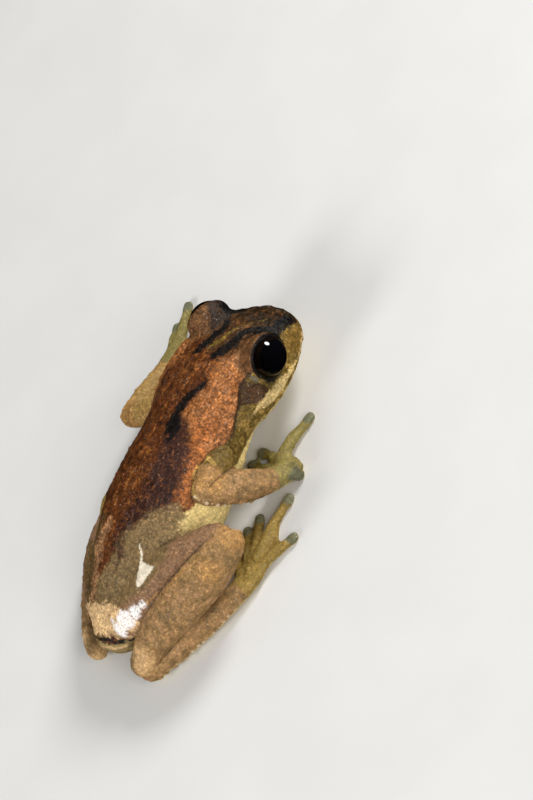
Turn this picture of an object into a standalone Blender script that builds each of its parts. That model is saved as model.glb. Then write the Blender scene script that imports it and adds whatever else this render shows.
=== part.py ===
"""A small brown tree frog, life size, crouched on a flat floor with its head turned a little to its right.

Places are written (right, forward, up) in millimetres, from the point of the floor under the vent, as the
frog itself would say them. It faces -Y. Each limb is a loft through a few named stations, each node's pieces
are joined, and neighbouring nodes are parted by thin plane cuts or by the grown shape of what carries them.
"""

import math

import bmesh
import bpy
import numpy as np
from mathutils import Matrix, Vector

MM = 0.001
GAP = 0.25  # between neighbouring nodes
EYE_GAP = 0.15  # between an eyeball and its socket
WELD = 0.0015  # how near two corners are welded after a Boolean
FAR = 60.0  # the side of a box that stands for a half space

# Body
SNOUT_VENT = 28.0
TORSO_SIDES = 28
TORSO_STEPS = 2
NECK = (0.75, 19.3, 4.9)  # centre of the neck's cut
NECK_TURN = 5.0  # degrees to the right, half of the head's own turn
NECK_DIP = -7.0  # degrees of pitch, half of the head's own

# Head, in its own frame: right, forward and up from the middle between the eyes
HEAD_CENTRE = (1.2, 23.4, 5.8)
HEAD_TURN, HEAD_DIP, HEAD_TILT = 10.0, -14.0, 2.0
HEAD_SIDES = 32
HEAD_STEPS = 2
EYE_SPREAD = 3.2  # from the midline to an eye's centre
EYE_RADIUS = 1.52
EYE_SHOWS_FROM = 0.5  # along the eye's axis, where the lids end
EYE_AXIS = (0.93, 0.22, 0.16)
LID_RADIUS = 1.72
MOUTH_HEIGHT = -2.62
MOUTH_BACK = -3.3
MOUTH_GROOVE = 0.15
NOSTRIL = (1.12, 3.62, -0.92)
NOSTRIL_RADIUS = 0.17
EAR = (-2.60, -0.80)  # forward and up
EAR_RADIUS, EAR_RIM = 0.72, 0.13

# Limbs: the sides of a loft's ring and the steps between two stations
LIMB_SIDES, LIMB_STEPS = 14, 2
TOE_SIDES, TOE_STEPS = 8, 1
PAD_HALF_WIDTH, PAD_HALF_HEIGHT = 0.50, 0.31
FLAT_DEPTH = 0.06  # how far a sole is flattened by the floor


def place(right, forward, up):
    """A point of the frog's own frame in the world's, in metres."""
    return Vector((-right, -forward, up)) * MM


def unit(right, forward, up):
    """A direction of the frog's own frame in the world's."""
    return Vector((-right, -forward, up)).normalized()


def turned_frame(turn, dip, tilt):
    """Right, forward and up directions of a piece turned right, pitched up and rolled by these degrees."""
    yaw, pitch, roll = (math.radians(a) for a in (turn, dip, tilt))
    forward = np.array(
        [math.sin(yaw) * math.cos(pitch), math.cos(yaw) * math.cos(pitch), math.sin(pitch)]
    )
    level = np.array([math.cos(yaw), -math.sin(yaw), 0.0])
    top = np.cross(level, forward)
    right = math.cos(roll) * level - math.sin(roll) * top
    return right, forward, np.cross(right, forward)


HEAD_RIGHT, HEAD_FORWARD, HEAD_UP = turned_frame(HEAD_TURN, HEAD_DIP, HEAD_TILT)


def head_place(right, forward, up):
    """A point of the head's frame in the world's, in metres."""
    point = HEAD_CENTRE + right * HEAD_RIGHT + forward * HEAD_FORWARD + up * HEAD_UP
    return place(*point)


def head_unit(right, forward, up):
    """A direction of the head's frame in the world's."""
    return unit(*(right * HEAD_RIGHT + forward * HEAD_FORWARD + up * HEAD_UP))


def smooth(rows, steps):
    """Rows of numbers with Catmull-Rom steps between each two."""
    rows = np.array(rows, float)
    before = np.vstack([2 * rows[0] - rows[1], rows, 2 * rows[-1] - rows[-2]])
    found = []
    for i in range(len(rows) - 1):
        a, b, c, d = before[i : i + 4]
        for t in np.arange(steps) / steps:
            bend = 2 * b + (c - a) * t + (2 * a - 5 * b + 4 * c - d) * t**2
            found.append(0.5 * (bend + (3 * b - a - 3 * c + d) * t**3))
    found.append(rows[-1])
    return np.array(found)


def new_object(name, mesh):
    piece = bpy.data.objects.new(name, mesh)
    bpy.context.scene.collection.objects.link(piece)
    return piece


def finish_mesh(name, work):
    """The object of a bmesh, with its faces pointing out."""
    bmesh.ops.recalc_face_normals(work, faces=work.faces)
    mesh = bpy.data.meshes.new(name)
    work.to_mesh(mesh)
    work.free()
    return new_object(name, mesh)


def loft(name, rings, first_pole, last_pole):
    """A closed skin over rings of points, with a pole at each end."""
    work = bmesh.new()
    rows = [[work.verts.new(p) for p in ring] for ring in rings]
    sides = len(rows[0])
    for low, high in zip(rows, rows[1:]):
        for i in range(sides):
            j = (i + 1) % sides
            work.faces.new((low[i], low[j], high[j], high[i]))
    for row, pole in ((rows[0], first_pole), (rows[-1], last_pole)):
        tip = work.verts.new(pole)
        for i in range(sides):
            work.faces.new((row[i], row[(i + 1) % sides], tip))
    return finish_mesh(name, work)


def limb(name, stations, sides=LIMB_SIDES, steps=LIMB_STEPS, grow=0.0, square=1.0, round_steps=(65, 32)):
    """A round-ended loft. A station is right, forward, up, half width and half height. A square below 1
    fills out the ring's corners."""
    rows = smooth(stations, steps)
    centres = [place(*row[:3]) for row in rows]
    turns = [2 * math.pi * (i + 0.5) / sides for i in range(sides)]
    rings = []

    def ring(centre, side, top, wide, high):
        points = []
        for turn in turns:
            across = math.copysign(abs(math.cos(turn)) ** square, math.cos(turn))
            over = math.copysign(abs(math.sin(turn)) ** square, math.sin(turn))
            points.append(centre + side * (across * wide * MM) + top * (over * high * MM))
        return points

    for i, row in enumerate(rows):
        ahead = centres[min(i + 1, len(rows) - 1)] - centres[max(i - 1, 0)]
        ahead.normalize()
        side = ahead.cross(Vector((0, 0, 1))).normalized()
        top = side.cross(ahead)
        wide, high = row[3] + grow, row[4] + grow
        reach = min(wide, high) * MM
        if i == 0:
            first_pole = centres[0] - ahead * reach
            for angle in round_steps:
                a = math.radians(angle)
                back = centres[0] - ahead * (reach * math.sin(a))
                rings.append(ring(back, side, top, wide * math.cos(a), high * math.cos(a)))
        rings.append(ring(centres[i], side, top, wide, high))
        if i == len(rows) - 1:
            last_pole = centres[i] + ahead * reach
            for angle in reversed(round_steps):
                a = math.radians(angle)
                on = centres[i] + ahead * (reach * math.sin(a))
                rings.append(ring(on, side, top, wide * math.cos(a), high * math.cos(a)))
    return loft(name, rings, first_pole, last_pole)


def ball(name, centre, radius, across=20, up=12, turn=None):
    """A UV sphere at a world point, its poles along turn's Z."""
    work = bmesh.new()
    bmesh.ops.create_uvsphere(work, u_segments=across, v_segments=up, radius=radius * MM)
    matrix = Matrix.Translation(centre) @ (turn or Matrix()).to_4x4()
    bmesh.ops.transform(work, matrix=matrix, verts=work.verts)
    return finish_mesh(name, work)


def rod(name, points, radii, sides=8):
    """A thin round bar through world points, pointed at both ends."""
    rings = []
    for i, (point, radius) in enumerate(zip(points, radii)):
        ahead = (points[min(i + 1, len(points) - 1)] - points[max(i - 1, 0)]).normalized()
        side = ahead.orthogonal().normalized() if i == 0 else (side - ahead * side.dot(ahead)).normalized()
        top = ahead.cross(side)
        turns = [2 * math.pi * k / sides for k in range(sides)]
        rings.append([point + (side * math.cos(t) + top * math.sin(t)) * radius * MM for t in turns])
    start = points[0] - (points[1] - points[0]).normalized() * radii[0] * MM
    end = points[-1] + (points[-1] - points[-2]).normalized() * radii[-1] * MM
    return loft(name, rings, start, end)


def apply_modifiers(piece):
    """The piece's mesh as its modifiers leave it."""
    graph = bpy.context.evaluated_depsgraph_get()
    mesh = bpy.data.meshes.new_from_object(piece.evaluated_get(graph))
    piece.modifiers.clear()
    work = bmesh.new()
    work.from_mesh(mesh)
    bmesh.ops.remove_doubles(work, verts=work.verts, dist=WELD * MM)
    bmesh.ops.dissolve_degenerate(work, edges=work.edges, dist=WELD * MM)
    bmesh.ops.triangulate(work, faces=work.faces)
    work.to_mesh(mesh)
    work.free()
    piece.data = mesh


def keep_largest(piece):
    """Drops every closed surface of the piece but the largest."""
    work = bmesh.new()
    work.from_mesh(piece.data)
    left = set(work.verts)
    islands = []
    while left:
        island, edge = set(), [left.pop()]
        while edge:
            vert = edge.pop()
            island.add(vert)
            for link in vert.link_edges:
                other = link.other_vert(vert)
                if other in left:
                    left.remove(other)
                    edge.append(other)
        islands.append(island)
    islands.sort(key=len)
    for island in islands[:-1]:
        bmesh.ops.delete(work, geom=list(island), context="VERTS")
    work.to_mesh(piece.data)
    work.free()
    return piece


def combine(piece, others, operation):
    """One Boolean of the piece with all the others, which are then removed."""
    group = bpy.data.collections.new("group")
    for other in others:
        group.objects.link(other)
    cut = piece.modifiers.new("combine", "BOOLEAN")
    cut.operand_type = "COLLECTION"
    cut.collection = group
    cut.operation = operation
    cut.solver = "EXACT"
    apply_modifiers(piece)
    for other in others:
        bpy.data.objects.remove(other)
    bpy.data.collections.remove(group)
    return keep_largest(piece)


def join(name, pieces):
    piece = combine(pieces[0], pieces[1:], "UNION")
    piece.name = name
    return piece


def carve(piece, cutters):
    return combine(piece, cutters, "DIFFERENCE")


def slice_off(piece, point, away):
    """Cuts away what lies beyond a plane, on the side that away points to."""
    work = bmesh.new()
    bmesh.ops.create_cube(work, size=FAR * MM)
    turn = away.to_track_quat("Z", "Y").to_matrix().to_4x4()
    middle = point + away.normalized() * (FAR / 2 * MM)
    bmesh.ops.transform(work, matrix=Matrix.Translation(middle) @ turn, verts=work.verts)
    return carve(piece, [finish_mesh("beyond", work)])


def part_in_two(piece, names, point, away):
    """Parts a piece by a thin plane cut. The first name is for the side that away points from."""
    other = piece.copy()
    other.data = piece.data.copy()
    bpy.context.scene.collection.objects.link(other)
    half = away.normalized() * (GAP / 2 * MM)
    slice_off(piece, point - half, away)
    slice_off(other, point + half, -away)
    piece.name, other.name = names
    return piece, other


def rest_on_floor(piece):
    """Flattens what dips under the floor."""
    return slice_off(piece, Vector((0, 0, 0)), Vector((0, 0, -1)))


# Torso: forward, centre to the right, half width, top and bottom
TORSO = (
    (0.9, 0.35, 2.10, 4.05, 0.80),
    (2.5, 0.20, 2.65, 5.35, 0.40),
    (4.5, 0.20, 3.20, 6.45, 0.10),
    (7.0, 0.30, 3.85, 7.25, -0.10),
    (9.5, 0.30, 4.35, 7.65, -0.12),
    (12.0, 0.35, 4.45, 7.75, 0.10),
    (14.5, 0.45, 4.25, 7.70, 0.75),
    (17.0, 0.60, 4.10, 7.70, 1.60),
    (19.3, 0.80, 4.15, 7.65, 2.30),
    (21.0, 0.95, 3.90, 7.20, 2.90),
)


def torso_loft(name, grow=0.0):
    rows = []
    for forward, middle, wide, top, bottom in TORSO:
        high = (top - bottom) / 2
        rows.append((middle, forward, (top + bottom) / 2, wide, high))
    return limb(name, rows, TORSO_SIDES, TORSO_STEPS, grow, square=0.88, round_steps=(70, 45, 20))


# Head: forward, half width, height of the widest place, top and bottom
HEAD = (
    (-8.6, 2.40, -2.20, -0.90, -3.90),
    (-6.6, 3.60, -2.20, 0.22, -4.60),
    (-5.0, 4.28, -2.22, 0.60, -4.75),
    (-3.4, 4.72, -2.30, 0.82, -4.55),
    (-1.8, 4.72, -2.35, 0.92, -4.30),
    (-0.2, 4.38, -2.38, 0.92, -4.05),
    (1.2, 3.80, -2.40, 0.62, -3.80),
    (2.4, 3.08, -2.40, 0.12, -3.55),
    (3.3, 2.36, -2.36, -0.45, -3.30),
    (3.95, 1.62, -2.30, -1.02, -3.02),
    (4.33, 0.92, -2.22, -1.52, -2.72),
)
SNOUT_TIP = (4.50, -2.14)
BROW_SQUARE, THROAT_SQUARE = 0.80, 0.92


def head_ring(forward, wide, level, top, bottom, grow=0.0):
    """A ring across the head, rounder below the lip than above it."""
    wide, top, bottom = wide + grow, top + grow, bottom - grow
    points = []
    for i in range(HEAD_SIDES):
        turn = 2 * math.pi * (i + 0.5) / HEAD_SIDES
        c, s = math.cos(turn), math.sin(turn)
        square = BROW_SQUARE if s > 0 else THROAT_SQUARE
        across = math.copysign(abs(c) ** square, c) * wide
        reach = (top - level) if s > 0 else (level - bottom)
        points.append(head_place(across, forward, level + math.copysign(abs(s) ** square, s) * reach))
    return points


def head_loft(grow=0.0):
    rings = [head_ring(*row, grow) for row in smooth(HEAD, HEAD_STEPS)]
    tip = head_place(0, SNOUT_TIP[0] + grow, SNOUT_TIP[1])
    nape = head_place(0, HEAD[0][0] - 0.8, HEAD[0][2])
    return loft("head_form", rings, nape, tip)


def head_side(forward, up):
    """How far to the side the head's surface is, at a height over the mouth."""
    rows = smooth(HEAD, 8)
    wide, level, top = (float(np.interp(forward, rows[:, 0], rows[:, i])) for i in (1, 2, 3))
    sine = (max(0.0, up - level) / (top - level)) ** (1 / BROW_SQUARE)
    return wide * max(0.0, 1 - sine**2) ** (BROW_SQUARE / 2)


def mouth_groove():
    """A bar along the line of the mouth, from one corner round the snout to the other."""
    rows = smooth(HEAD, 8)
    side = []
    for forward in (*np.linspace(MOUTH_BACK, 3.3, 7), 3.9, 4.25):
        wide = float(np.interp(forward, rows[:, 0], rows[:, 1]))
        sag = 0.12 * math.sin(math.pi * (forward - MOUTH_BACK) / 5)
        side.append((wide * 0.985, forward, MOUTH_HEIGHT + sag))
    points = side + [(0.0, SNOUT_TIP[0] - 0.06, MOUTH_HEIGHT + 0.05)] + [(-r, f, u) for r, f, u in reversed(side)]
    radii = [MOUTH_GROOVE] * len(points)
    radii[0] = radii[-1] = MOUTH_GROOVE * 0.4
    return rod("mouth", [head_place(*p) for p in points], radii, sides=5)


def eye_frame(side):
    """The eye's centre and its axis, for side 1 at the right and -1 at the left."""
    centre = head_place(side * EYE_SPREAD, 0.0, 0.0)
    right, forward, up = EYE_AXIS
    return centre, head_unit(side * right, forward, up)


def make_eye(name, side):
    """The part of the eyeball that shows between the lids."""
    centre, axis = eye_frame(side)
    turn = axis.to_track_quat("Z", "Y").to_matrix()
    eye = ball(name, centre, EYE_RADIUS, turn=turn)
    return slice_off(eye, centre + axis * (EYE_SHOWS_FROM - 0.12) * MM, -axis)


def eye_socket(side):
    centre, axis = eye_frame(side)
    turn = axis.to_track_quat("Z", "Y").to_matrix()
    hollow = ball("socket", centre, EYE_RADIUS + EYE_GAP, turn=turn)
    return slice_off(hollow, centre + axis * (EYE_SHOWS_FROM - 0.12 - EYE_GAP) * MM, -axis)


def eyelids(side):
    """The lids and brow over one eye, open where the eye looks out."""
    centre, axis = eye_frame(side)
    turn = axis.to_track_quat("Z", "Y").to_matrix()
    lids = ball("lids", centre, LID_RADIUS, across=22, up=12, turn=turn)
    return slice_off(lids, centre + axis * (EYE_SHOWS_FROM + 0.18) * MM, axis)


def ear_rim(side):
    """The raised rim round the eardrum, a closed bar that follows the head's surface."""
    around, thick = 16, 5
    spots = []
    for i in range(around):
        a = 2 * math.pi * i / around
        forward, up = EAR[0] + EAR_RADIUS * math.cos(a), EAR[1] + EAR_RADIUS * math.sin(a)
        spots.append(head_place(side * head_side(forward, up), forward, up))
    middle = sum(spots, Vector()) / around
    work = bmesh.new()
    rows = []
    for spot in spots:
        spoke = (spot - middle).normalized()
        out = head_unit(side * 0.9, 0.0, 0.45)
        turns = [2 * math.pi * k / thick for k in range(thick)]
        rows.append([work.verts.new(spot + (spoke * math.cos(t) + out * math.sin(t)) * EAR_RIM * MM) for t in turns])
    for i in range(around):
        for k in range(thick):
            a, b = rows[i], rows[(i + 1) % around]
            work.faces.new((a[k], b[k], b[(k + 1) % thick], a[(k + 1) % thick]))
    return finish_mesh("ear", work)


def ear_fold(side):
    """The fold of skin from behind the eye over the ear."""
    route = smooth(((-1.35, 0.10), (-2.2, 0.20), (-3.3, -0.20), (-4.05, -1.10)), 3)
    radii = np.interp(np.linspace(0, 1, len(route)), (0, 0.4, 1), (0.16, 0.24, 0.16))
    points = [head_place(side * (head_side(f, u) - 0.07), f, u) for f, u in route]
    return rod("fold", points, list(radii), sides=6)


def make_head_and_torso():
    pieces = [head_loft(), torso_loft("torso_form")]
    for side in (1, -1):
        pieces.append(eyelids(side))
    whole = join("whole", pieces)
    for side in (1, -1):
        whole = carve(whole, [eye_socket(side)])
    forward = turned_frame(NECK_TURN, NECK_DIP, 0)[1]
    torso, head = part_in_two(whole, ("torso", "head"), place(*NECK), unit(*forward))
    extras = [ear_rim(1), ear_rim(-1), ear_fold(1), ear_fold(-1)]
    for fold in extras[2:]:
        slice_off(fold, place(*NECK) + unit(*forward) * (GAP / 2 * MM), -unit(*forward))
    head = join("head", [head] + extras)
    nostrils = [ball("nostril", head_place(s * NOSTRIL[0], *NOSTRIL[1:]), NOSTRIL_RADIUS, 8, 6) for s in (1, -1)]
    carve(head, [mouth_groove()])
    carve(head, nostrils)
    rest_on_floor(torso)
    return torso, head


# Arms: shoulder, elbow and wrist, with stations of half width and half height
RIGHT_ARM = {
    "upper": (
        (2.9, 16.6, 4.6, 1.25, 1.30),
        (4.2, 14.9, 5.0, 1.15, 1.20),
        (5.1, 12.8, 5.7, 1.00, 1.10),
        (5.4, 11.9, 5.9, 0.98, 1.02),
    ),
    "fore": (
        (5.5, 12.0, 5.8, 1.00, 1.02),
        (6.0, 12.9, 4.8, 1.22, 1.22),
        (6.4, 14.0, 3.3, 1.20, 1.20),
        (6.5, 15.0, 1.9, 0.98, 0.92),
        (6.7, 15.7, 1.2, 0.90, 0.75),
    ),
    "elbow": (5.45, 12.0, 5.85),
    "wrist": (6.6, 15.3, 1.6),
    "palm": ((6.6, 15.2, 1.6, 0.90, 0.85), (6.7, 16.1, 0.95, 1.05, 0.72), (6.5, 17.0, 0.62, 0.95, 0.55)),
    "fingers": (
        ((6.1, 16.0, 0.75), (4.3, 16.0, 0.50), (2.65, 16.05, 0.0)),
        ((6.0, 16.6, 0.70), (4.4, 17.1, 0.50), (3.0, 17.15, 0.0)),
        ((5.6, 17.0, 0.78), (5.5, 18.9, 0.62), (5.85, 20.85, 0.0), 1.16),
        ((6.9, 16.5, 0.90), (7.65, 16.9, 0.95), (7.5, 16.35, 0.0)),
    ),
}
LEFT_ARM = {
    "upper": (
        (-2.7, 17.4, 4.4, 1.25, 1.30),
        (-4.8, 17.0, 4.1, 1.10, 1.15),
        (-6.9, 16.4, 3.5, 0.98, 1.00),
        (-8.0, 16.1, 3.15, 0.88, 0.90),
    ),
    "fore": (
        (-8.05, 16.1, 3.1, 0.88, 0.90),
        (-8.4, 17.4, 2.55, 0.92, 0.92),
        (-8.7, 18.8, 2.0, 0.84, 0.86),
        (-9.0, 20.3, 1.45, 0.70, 0.72),
        (-9.1, 21.3, 1.1, 0.74, 0.66),
    ),
    "elbow": (-8.05, 16.1, 3.1),
    "wrist": (-9.05, 20.8, 1.25),
    "palm": ((-9.05, 20.8, 1.25, 0.72, 0.70), (-9.3, 22.0, 0.85, 0.95, 0.66), (-9.4, 23.0, 0.62, 0.92, 0.55)),
    "fingers": (
        ((-8.9, 21.9, 0.70), (-7.9, 22.6, 0.50), (-7.0, 22.9, 0.0)),
        ((-8.9, 22.7, 0.70), (-8.1, 24.2, 0.50), (-7.6, 25.5, 0.0)),
        ((-9.6, 23.0, 0.70), (-10.4, 24.6, 0.50), (-11.1, 26.15, 0.0)),
        ((-9.9, 22.3, 0.70), (-10.6, 23.3, 0.50), (-11.1, 24.3, 0.0)),
    ),
}

# Legs: hip, knee, heel and instep
RIGHT_LEG = {
    "thigh": (
        (2.0, 2.1, 3.3, 1.85, 1.95),
        (3.9, 4.9, 4.3, 2.00, 2.00),
        (5.8, 7.0, 4.8, 1.80, 1.85),
        (7.8, 9.0, 5.0, 1.45, 1.50),
    ),
    "shank": (
        (8.4, 9.2, 4.8, 1.45, 1.55),
        (7.55, 6.6, 4.3, 1.70, 1.80),
        (6.05, 3.8, 3.75, 1.60, 1.68),
        (4.5, 1.2, 2.9, 1.25, 1.34),
        (3.7, -0.55, 2.0, 1.00, 1.10),
    ),
    "tarsus": (
        (3.8, -0.6, 1.2, 0.96, 1.00),
        (5.2, 1.8, 1.05, 0.98, 1.00),
        (6.6, 4.2, 0.95, 0.94, 0.92),
        (7.6, 6.5, 0.78, 0.88, 0.78),
        (7.95, 7.9, 0.62, 0.90, 0.62),
    ),
    "knee": (8.35, 9.25, 4.9),
    "heel": (3.6, -0.7, 1.6),
    "instep": (7.8, 7.1, 0.65),
    "sole": ((7.8, 6.9, 0.66, 0.86, 0.68), (8.0, 8.2, 0.60, 1.05, 0.60), (8.05, 9.4, 0.52, 1.00, 0.50)),
    "toes": (
        ((7.2, 8.0, 0.55), (6.1, 8.8, 0.45), (5.2, 9.5, 0.0)),
        ((7.4, 8.8, 0.55), (6.3, 10.2, 0.45), (5.3, 11.35, 0.0)),
        ((7.6, 9.3, 0.55), (6.7, 11.1, 0.45), (5.85, 12.55, 0.0)),
        ((7.9, 9.6, 0.60), (7.5, 12.1, 0.50), (7.65, 14.7, 0.0)),
        ((8.4, 9.3, 0.60), (9.2, 10.9, 0.50), (9.8, 12.1, 0.0)),
    ),
}
LEFT_LEG = {
    "thigh": (
        (-1.5, 2.4, 3.1, 1.60, 1.70),
        (-2.9, 4.8, 3.4, 1.65, 1.75),
        (-4.0, 7.2, 3.2, 1.55, 1.60),
        (-4.7, 9.2, 2.6, 1.30, 1.35),
    ),
    "shank": (
        (-5.2, 9.4, 1.9, 1.25, 1.35),
        (-5.1, 6.8, 1.75, 1.45, 1.50),
        (-4.5, 4.0, 1.65, 1.40, 1.45),
        (-3.4, 1.2, 1.50, 1.10, 1.15),
        (-2.3, -0.6, 1.45, 0.92, 0.98),
    ),
    "tarsus": (
        (-2.2, -0.7, 1.15, 0.85, 0.92),
        (-4.2, 1.2, 0.85, 0.85, 0.88),
        (-6.0, 3.6, 0.76, 0.84, 0.78),
        (-7.0, 5.9, 0.70, 0.86, 0.72),
        (-7.3, 7.3, 0.62, 0.90, 0.62),
    ),
    "knee": (-4.95, 9.5, 2.3),
    "heel": (-2.1, -0.8, 1.3),
    "instep": (-7.15, 6.5, 0.65),
    "sole": ((-7.45, 6.7, 0.66, 0.90, 0.68), (-7.8, 8.0, 0.60, 1.02, 0.60), (-8.0, 9.2, 0.52, 0.98, 0.50)),
    "toes": (
        ((-7.3, 7.8, 0.55), (-6.4, 9.3, 0.45), (-6.2, 10.4, 0.0)),
        ((-7.5, 8.6, 0.55), (-6.7, 10.2, 0.45), (-6.4, 11.8, 0.0)),
        ((-7.8, 9.1, 0.55), (-7.5, 11.2, 0.45), (-7.3, 13.0, 0.0)),
        ((-8.1, 9.2, 0.55), (-8.5, 11.9, 0.45), (-8.75, 14.3, 0.0)),
        ((-8.5, 8.7, 0.55), (-9.2, 10.0, 0.45), (-9.4, 11.3, 0.0)),
    ),
}


def digit(name, base, knuckle, tip, stout=1.0):
    """The pieces of a finger or toe. It narrows, swells at its joint and ends in a flat round pad on the
    floor. One that is bent sharply is made of two pieces. Stout widens it up to the pad."""
    base, knuckle, tip = (np.array(p, float) for p in (base, knuckle, tip))
    tip[2] = PAD_HALF_HEIGHT - FLAT_DEPTH
    bent = np.dot(knuckle - base, tip - knuckle) < 0
    reach = np.linalg.norm(tip - knuckle)
    before_pad = tip + (knuckle - tip) * min(0.5, 1.0 / reach)
    pad = tip + (knuckle - tip) * min(0.3, 0.4 / reach)
    pad[2] = tip[2]
    if not bent:
        before_pad[2] = 0.36 - FLAT_DEPTH
        knuckle[2] = max(knuckle[2] - 0.08, 0.44 - FLAT_DEPTH)
    near = [(*base, 0.52, 0.46), (*((base + knuckle) / 2), 0.45 * stout, 0.42 * stout)]
    near.append((*knuckle, 0.44 * stout, 0.43))
    far = [
        (*before_pad, 0.35 * stout, 0.34),
        (*pad, PAD_HALF_WIDTH * 0.96, PAD_HALF_HEIGHT),
        (*(tip + (tip - pad) * 0.1), PAD_HALF_WIDTH * 0.86, PAD_HALF_HEIGHT * 0.95),
    ]
    if bent:
        far = [(*(knuckle + (0.03, -0.02, 0.01)), 0.41, 0.40)] + far
        return [limb(name, near, TOE_SIDES, TOE_STEPS), limb(name, far, TOE_SIDES, TOE_STEPS)]
    return [limb(name, near + far, TOE_SIDES, TOE_STEPS)]


def web(first, second, share):
    """The web between two toes, a thin plate from their bases to a share of their length, hollow at its edge."""
    thick = 0.42
    a, b = (np.array(p, float) for p in first), (np.array(p, float) for p in second)
    (a0, a1, a2), (b0, b1, b2) = a, b
    out_a, out_b = a1 + (a2 - a1) * share, b1 + (b2 - b1) * share
    hollow = (a1 + b1) / 2 * 0.9 + (out_a + out_b) / 2 * 0.1
    back = (a0 + b0) / 2 * 0.8 + (a0 + b0) / 2 * 0.2
    outline = [back, a1 * 0.5 + a0 * 0.5, a1, out_a, hollow, out_b, b1, b1 * 0.5 + b0 * 0.5]
    work = bmesh.new()
    low = [work.verts.new(place(p[0], p[1], 0.02)) for p in outline]
    high = [work.verts.new(place(p[0], p[1], thick)) for p in outline]
    count = len(outline)
    middle_low = work.verts.new(place(*((a1 + b1)[:2] / 2 * 0.6 + (a0 + b0)[:2] / 2 * 0.4), 0.02))
    middle_high = work.verts.new(place(*((a1 + b1)[:2] / 2 * 0.6 + (a0 + b0)[:2] / 2 * 0.4), thick))
    for i in range(count):
        j = (i + 1) % count
        work.faces.new((low[i], low[j], high[j], high[i]))
        work.faces.new((low[j], low[i], middle_low))
        work.faces.new((high[i], high[j], middle_high))
    return finish_mesh("web", work)


def part_at_fold(first, second, corner, far_first, far_second):
    """Trims two pieces that are folded on each other by the plane that halves the angle between them."""
    corner, far_first, far_second = (place(*p[:3]) for p in (corner, far_first, far_second))
    away = ((far_first - corner).normalized() - (far_second - corner).normalized()).normalized()
    half = away * (GAP / 2 * MM)
    slice_off(first, corner + half, -away)
    slice_off(second, corner - half, away)


def make_arm(side_name, arm, body_grown):
    upper = limb("upper_arm_" + side_name, arm["upper"])
    palm = limb("palm", arm["palm"], sides=12, steps=1)
    fingers = [piece for points in arm["fingers"] for piece in digit("finger", *points)]
    whole = join("forearm_and_hand", [limb("fore", arm["fore"]), palm] + fingers)
    wrist = place(*arm["wrist"])
    along = place(*arm["palm"][1][:3]) - place(*arm["fore"][-3][:3])
    fore, hand = part_in_two(whole, ("forearm_" + side_name, "hand_" + side_name), wrist, along)
    part_at_fold(upper, fore, arm["elbow"], arm["upper"][0], arm["fore"][-1])
    carve(upper, [body_grown.copy()])
    rest_on_floor(hand)
    return upper, fore, hand


def make_leg(side_name, leg, body_grown):
    thigh = limb("thigh_" + side_name, leg["thigh"])
    shank = limb("shank_" + side_name, leg["shank"])
    sole = limb("sole", leg["sole"], sides=12, steps=1)
    toes = [piece for points in leg["toes"] for piece in digit("toe", *points)]
    webs = [web(a, b, 0.35) for a, b in zip(leg["toes"], leg["toes"][1:])]
    whole = join("tarsus_and_foot", [limb("tarsus", leg["tarsus"]), sole] + toes + webs)
    instep = place(*leg["instep"])
    along = place(*leg["sole"][2][:3]) - place(*leg["tarsus"][2][:3])
    tarsus, foot = part_in_two(whole, ("tarsus_" + side_name, "foot_" + side_name), instep, along)
    part_at_fold(thigh, shank, leg["knee"], leg["thigh"][0], leg["shank"][2])
    part_at_fold(shank, tarsus, leg["heel"], leg["shank"][2], leg["tarsus"][2])
    for piece in (thigh, shank, tarsus):
        carve(piece, [body_grown.copy()])
    for piece in (thigh, shank, tarsus, foot):
        rest_on_floor(piece)
    return thigh, shank, tarsus, foot


COLOURS = {
    "torso": (0.150, 0.060, 0.024),
    "head": (0.190, 0.085, 0.036),
    "eye": (0.010, 0.007, 0.006),
    "upper_arm": (0.380, 0.230, 0.080),
    "forearm": (0.400, 0.200, 0.075),
    "hand": (0.460, 0.350, 0.150),
    "thigh": (0.260, 0.130, 0.060),
    "shank": (0.310, 0.155, 0.070),
    "tarsus": (0.360, 0.220, 0.090),
    "foot": (0.440, 0.300, 0.110),
}


def paint(piece):
    kind = piece.name.replace("_right", "").replace("_left", "")
    material = bpy.data.materials.new(piece.name)
    material.use_nodes = True
    shader = material.node_tree.nodes["Principled BSDF"]
    shader.inputs["Base Color"].default_value = (*COLOURS[kind], 1)
    shader.inputs["Roughness"].default_value = 0.08 if kind == "eye" else 0.5
    piece.data.materials.clear()
    piece.data.materials.append(material)
    piece.data.shade_smooth()
    piece.data.set_sharp_from_angle(angle=math.radians(40))


def centre_on_floor(pieces):
    """Moves the frog so that its box is centred over the origin and stands on the floor."""
    points = np.array([piece.matrix_world @ v.co for piece in pieces for v in piece.data.vertices])
    low, high = points.min(0), points.max(0)
    shift = Matrix.Translation((-(low[0] + high[0]) / 2, -(low[1] + high[1]) / 2, -low[2]))
    for piece in pieces:
        piece.data.transform(shift)


def main():
    for old in list(bpy.data.objects):
        bpy.data.objects.remove(old)
    torso, head = make_head_and_torso()
    nodes = [torso, head, make_eye("eye_right", 1), make_eye("eye_left", -1)]
    body_grown = join("body_grown", [torso_loft("torso_grown", GAP), head_loft(GAP)])
    for side_name, arm, leg in (("right", RIGHT_ARM, RIGHT_LEG), ("left", LEFT_ARM, LEFT_LEG)):
        nodes += make_arm(side_name, arm, body_grown)
        nodes += make_leg(side_name, leg, body_grown)
    bpy.data.objects.remove(body_grown)
    centre_on_floor(nodes)
    for piece in nodes:
        paint(piece)


main()
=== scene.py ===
"""A life-size small brown tree frog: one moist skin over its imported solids, two glossy eyes and a pale floor.

Laid out as an add-on and run as a script. Places on the frog are written (right, forward, up) in millimetres
from the floor under its vent, as the frog itself would say them, and the head's own frame starts between the
eyes. The skin is modelled in millimetres and brought to metres at the end.
"""

import math

import bpy
import numpy as np
from mathutils import Matrix, Vector, noise
from mathutils.bvhtree import BVHTree


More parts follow.
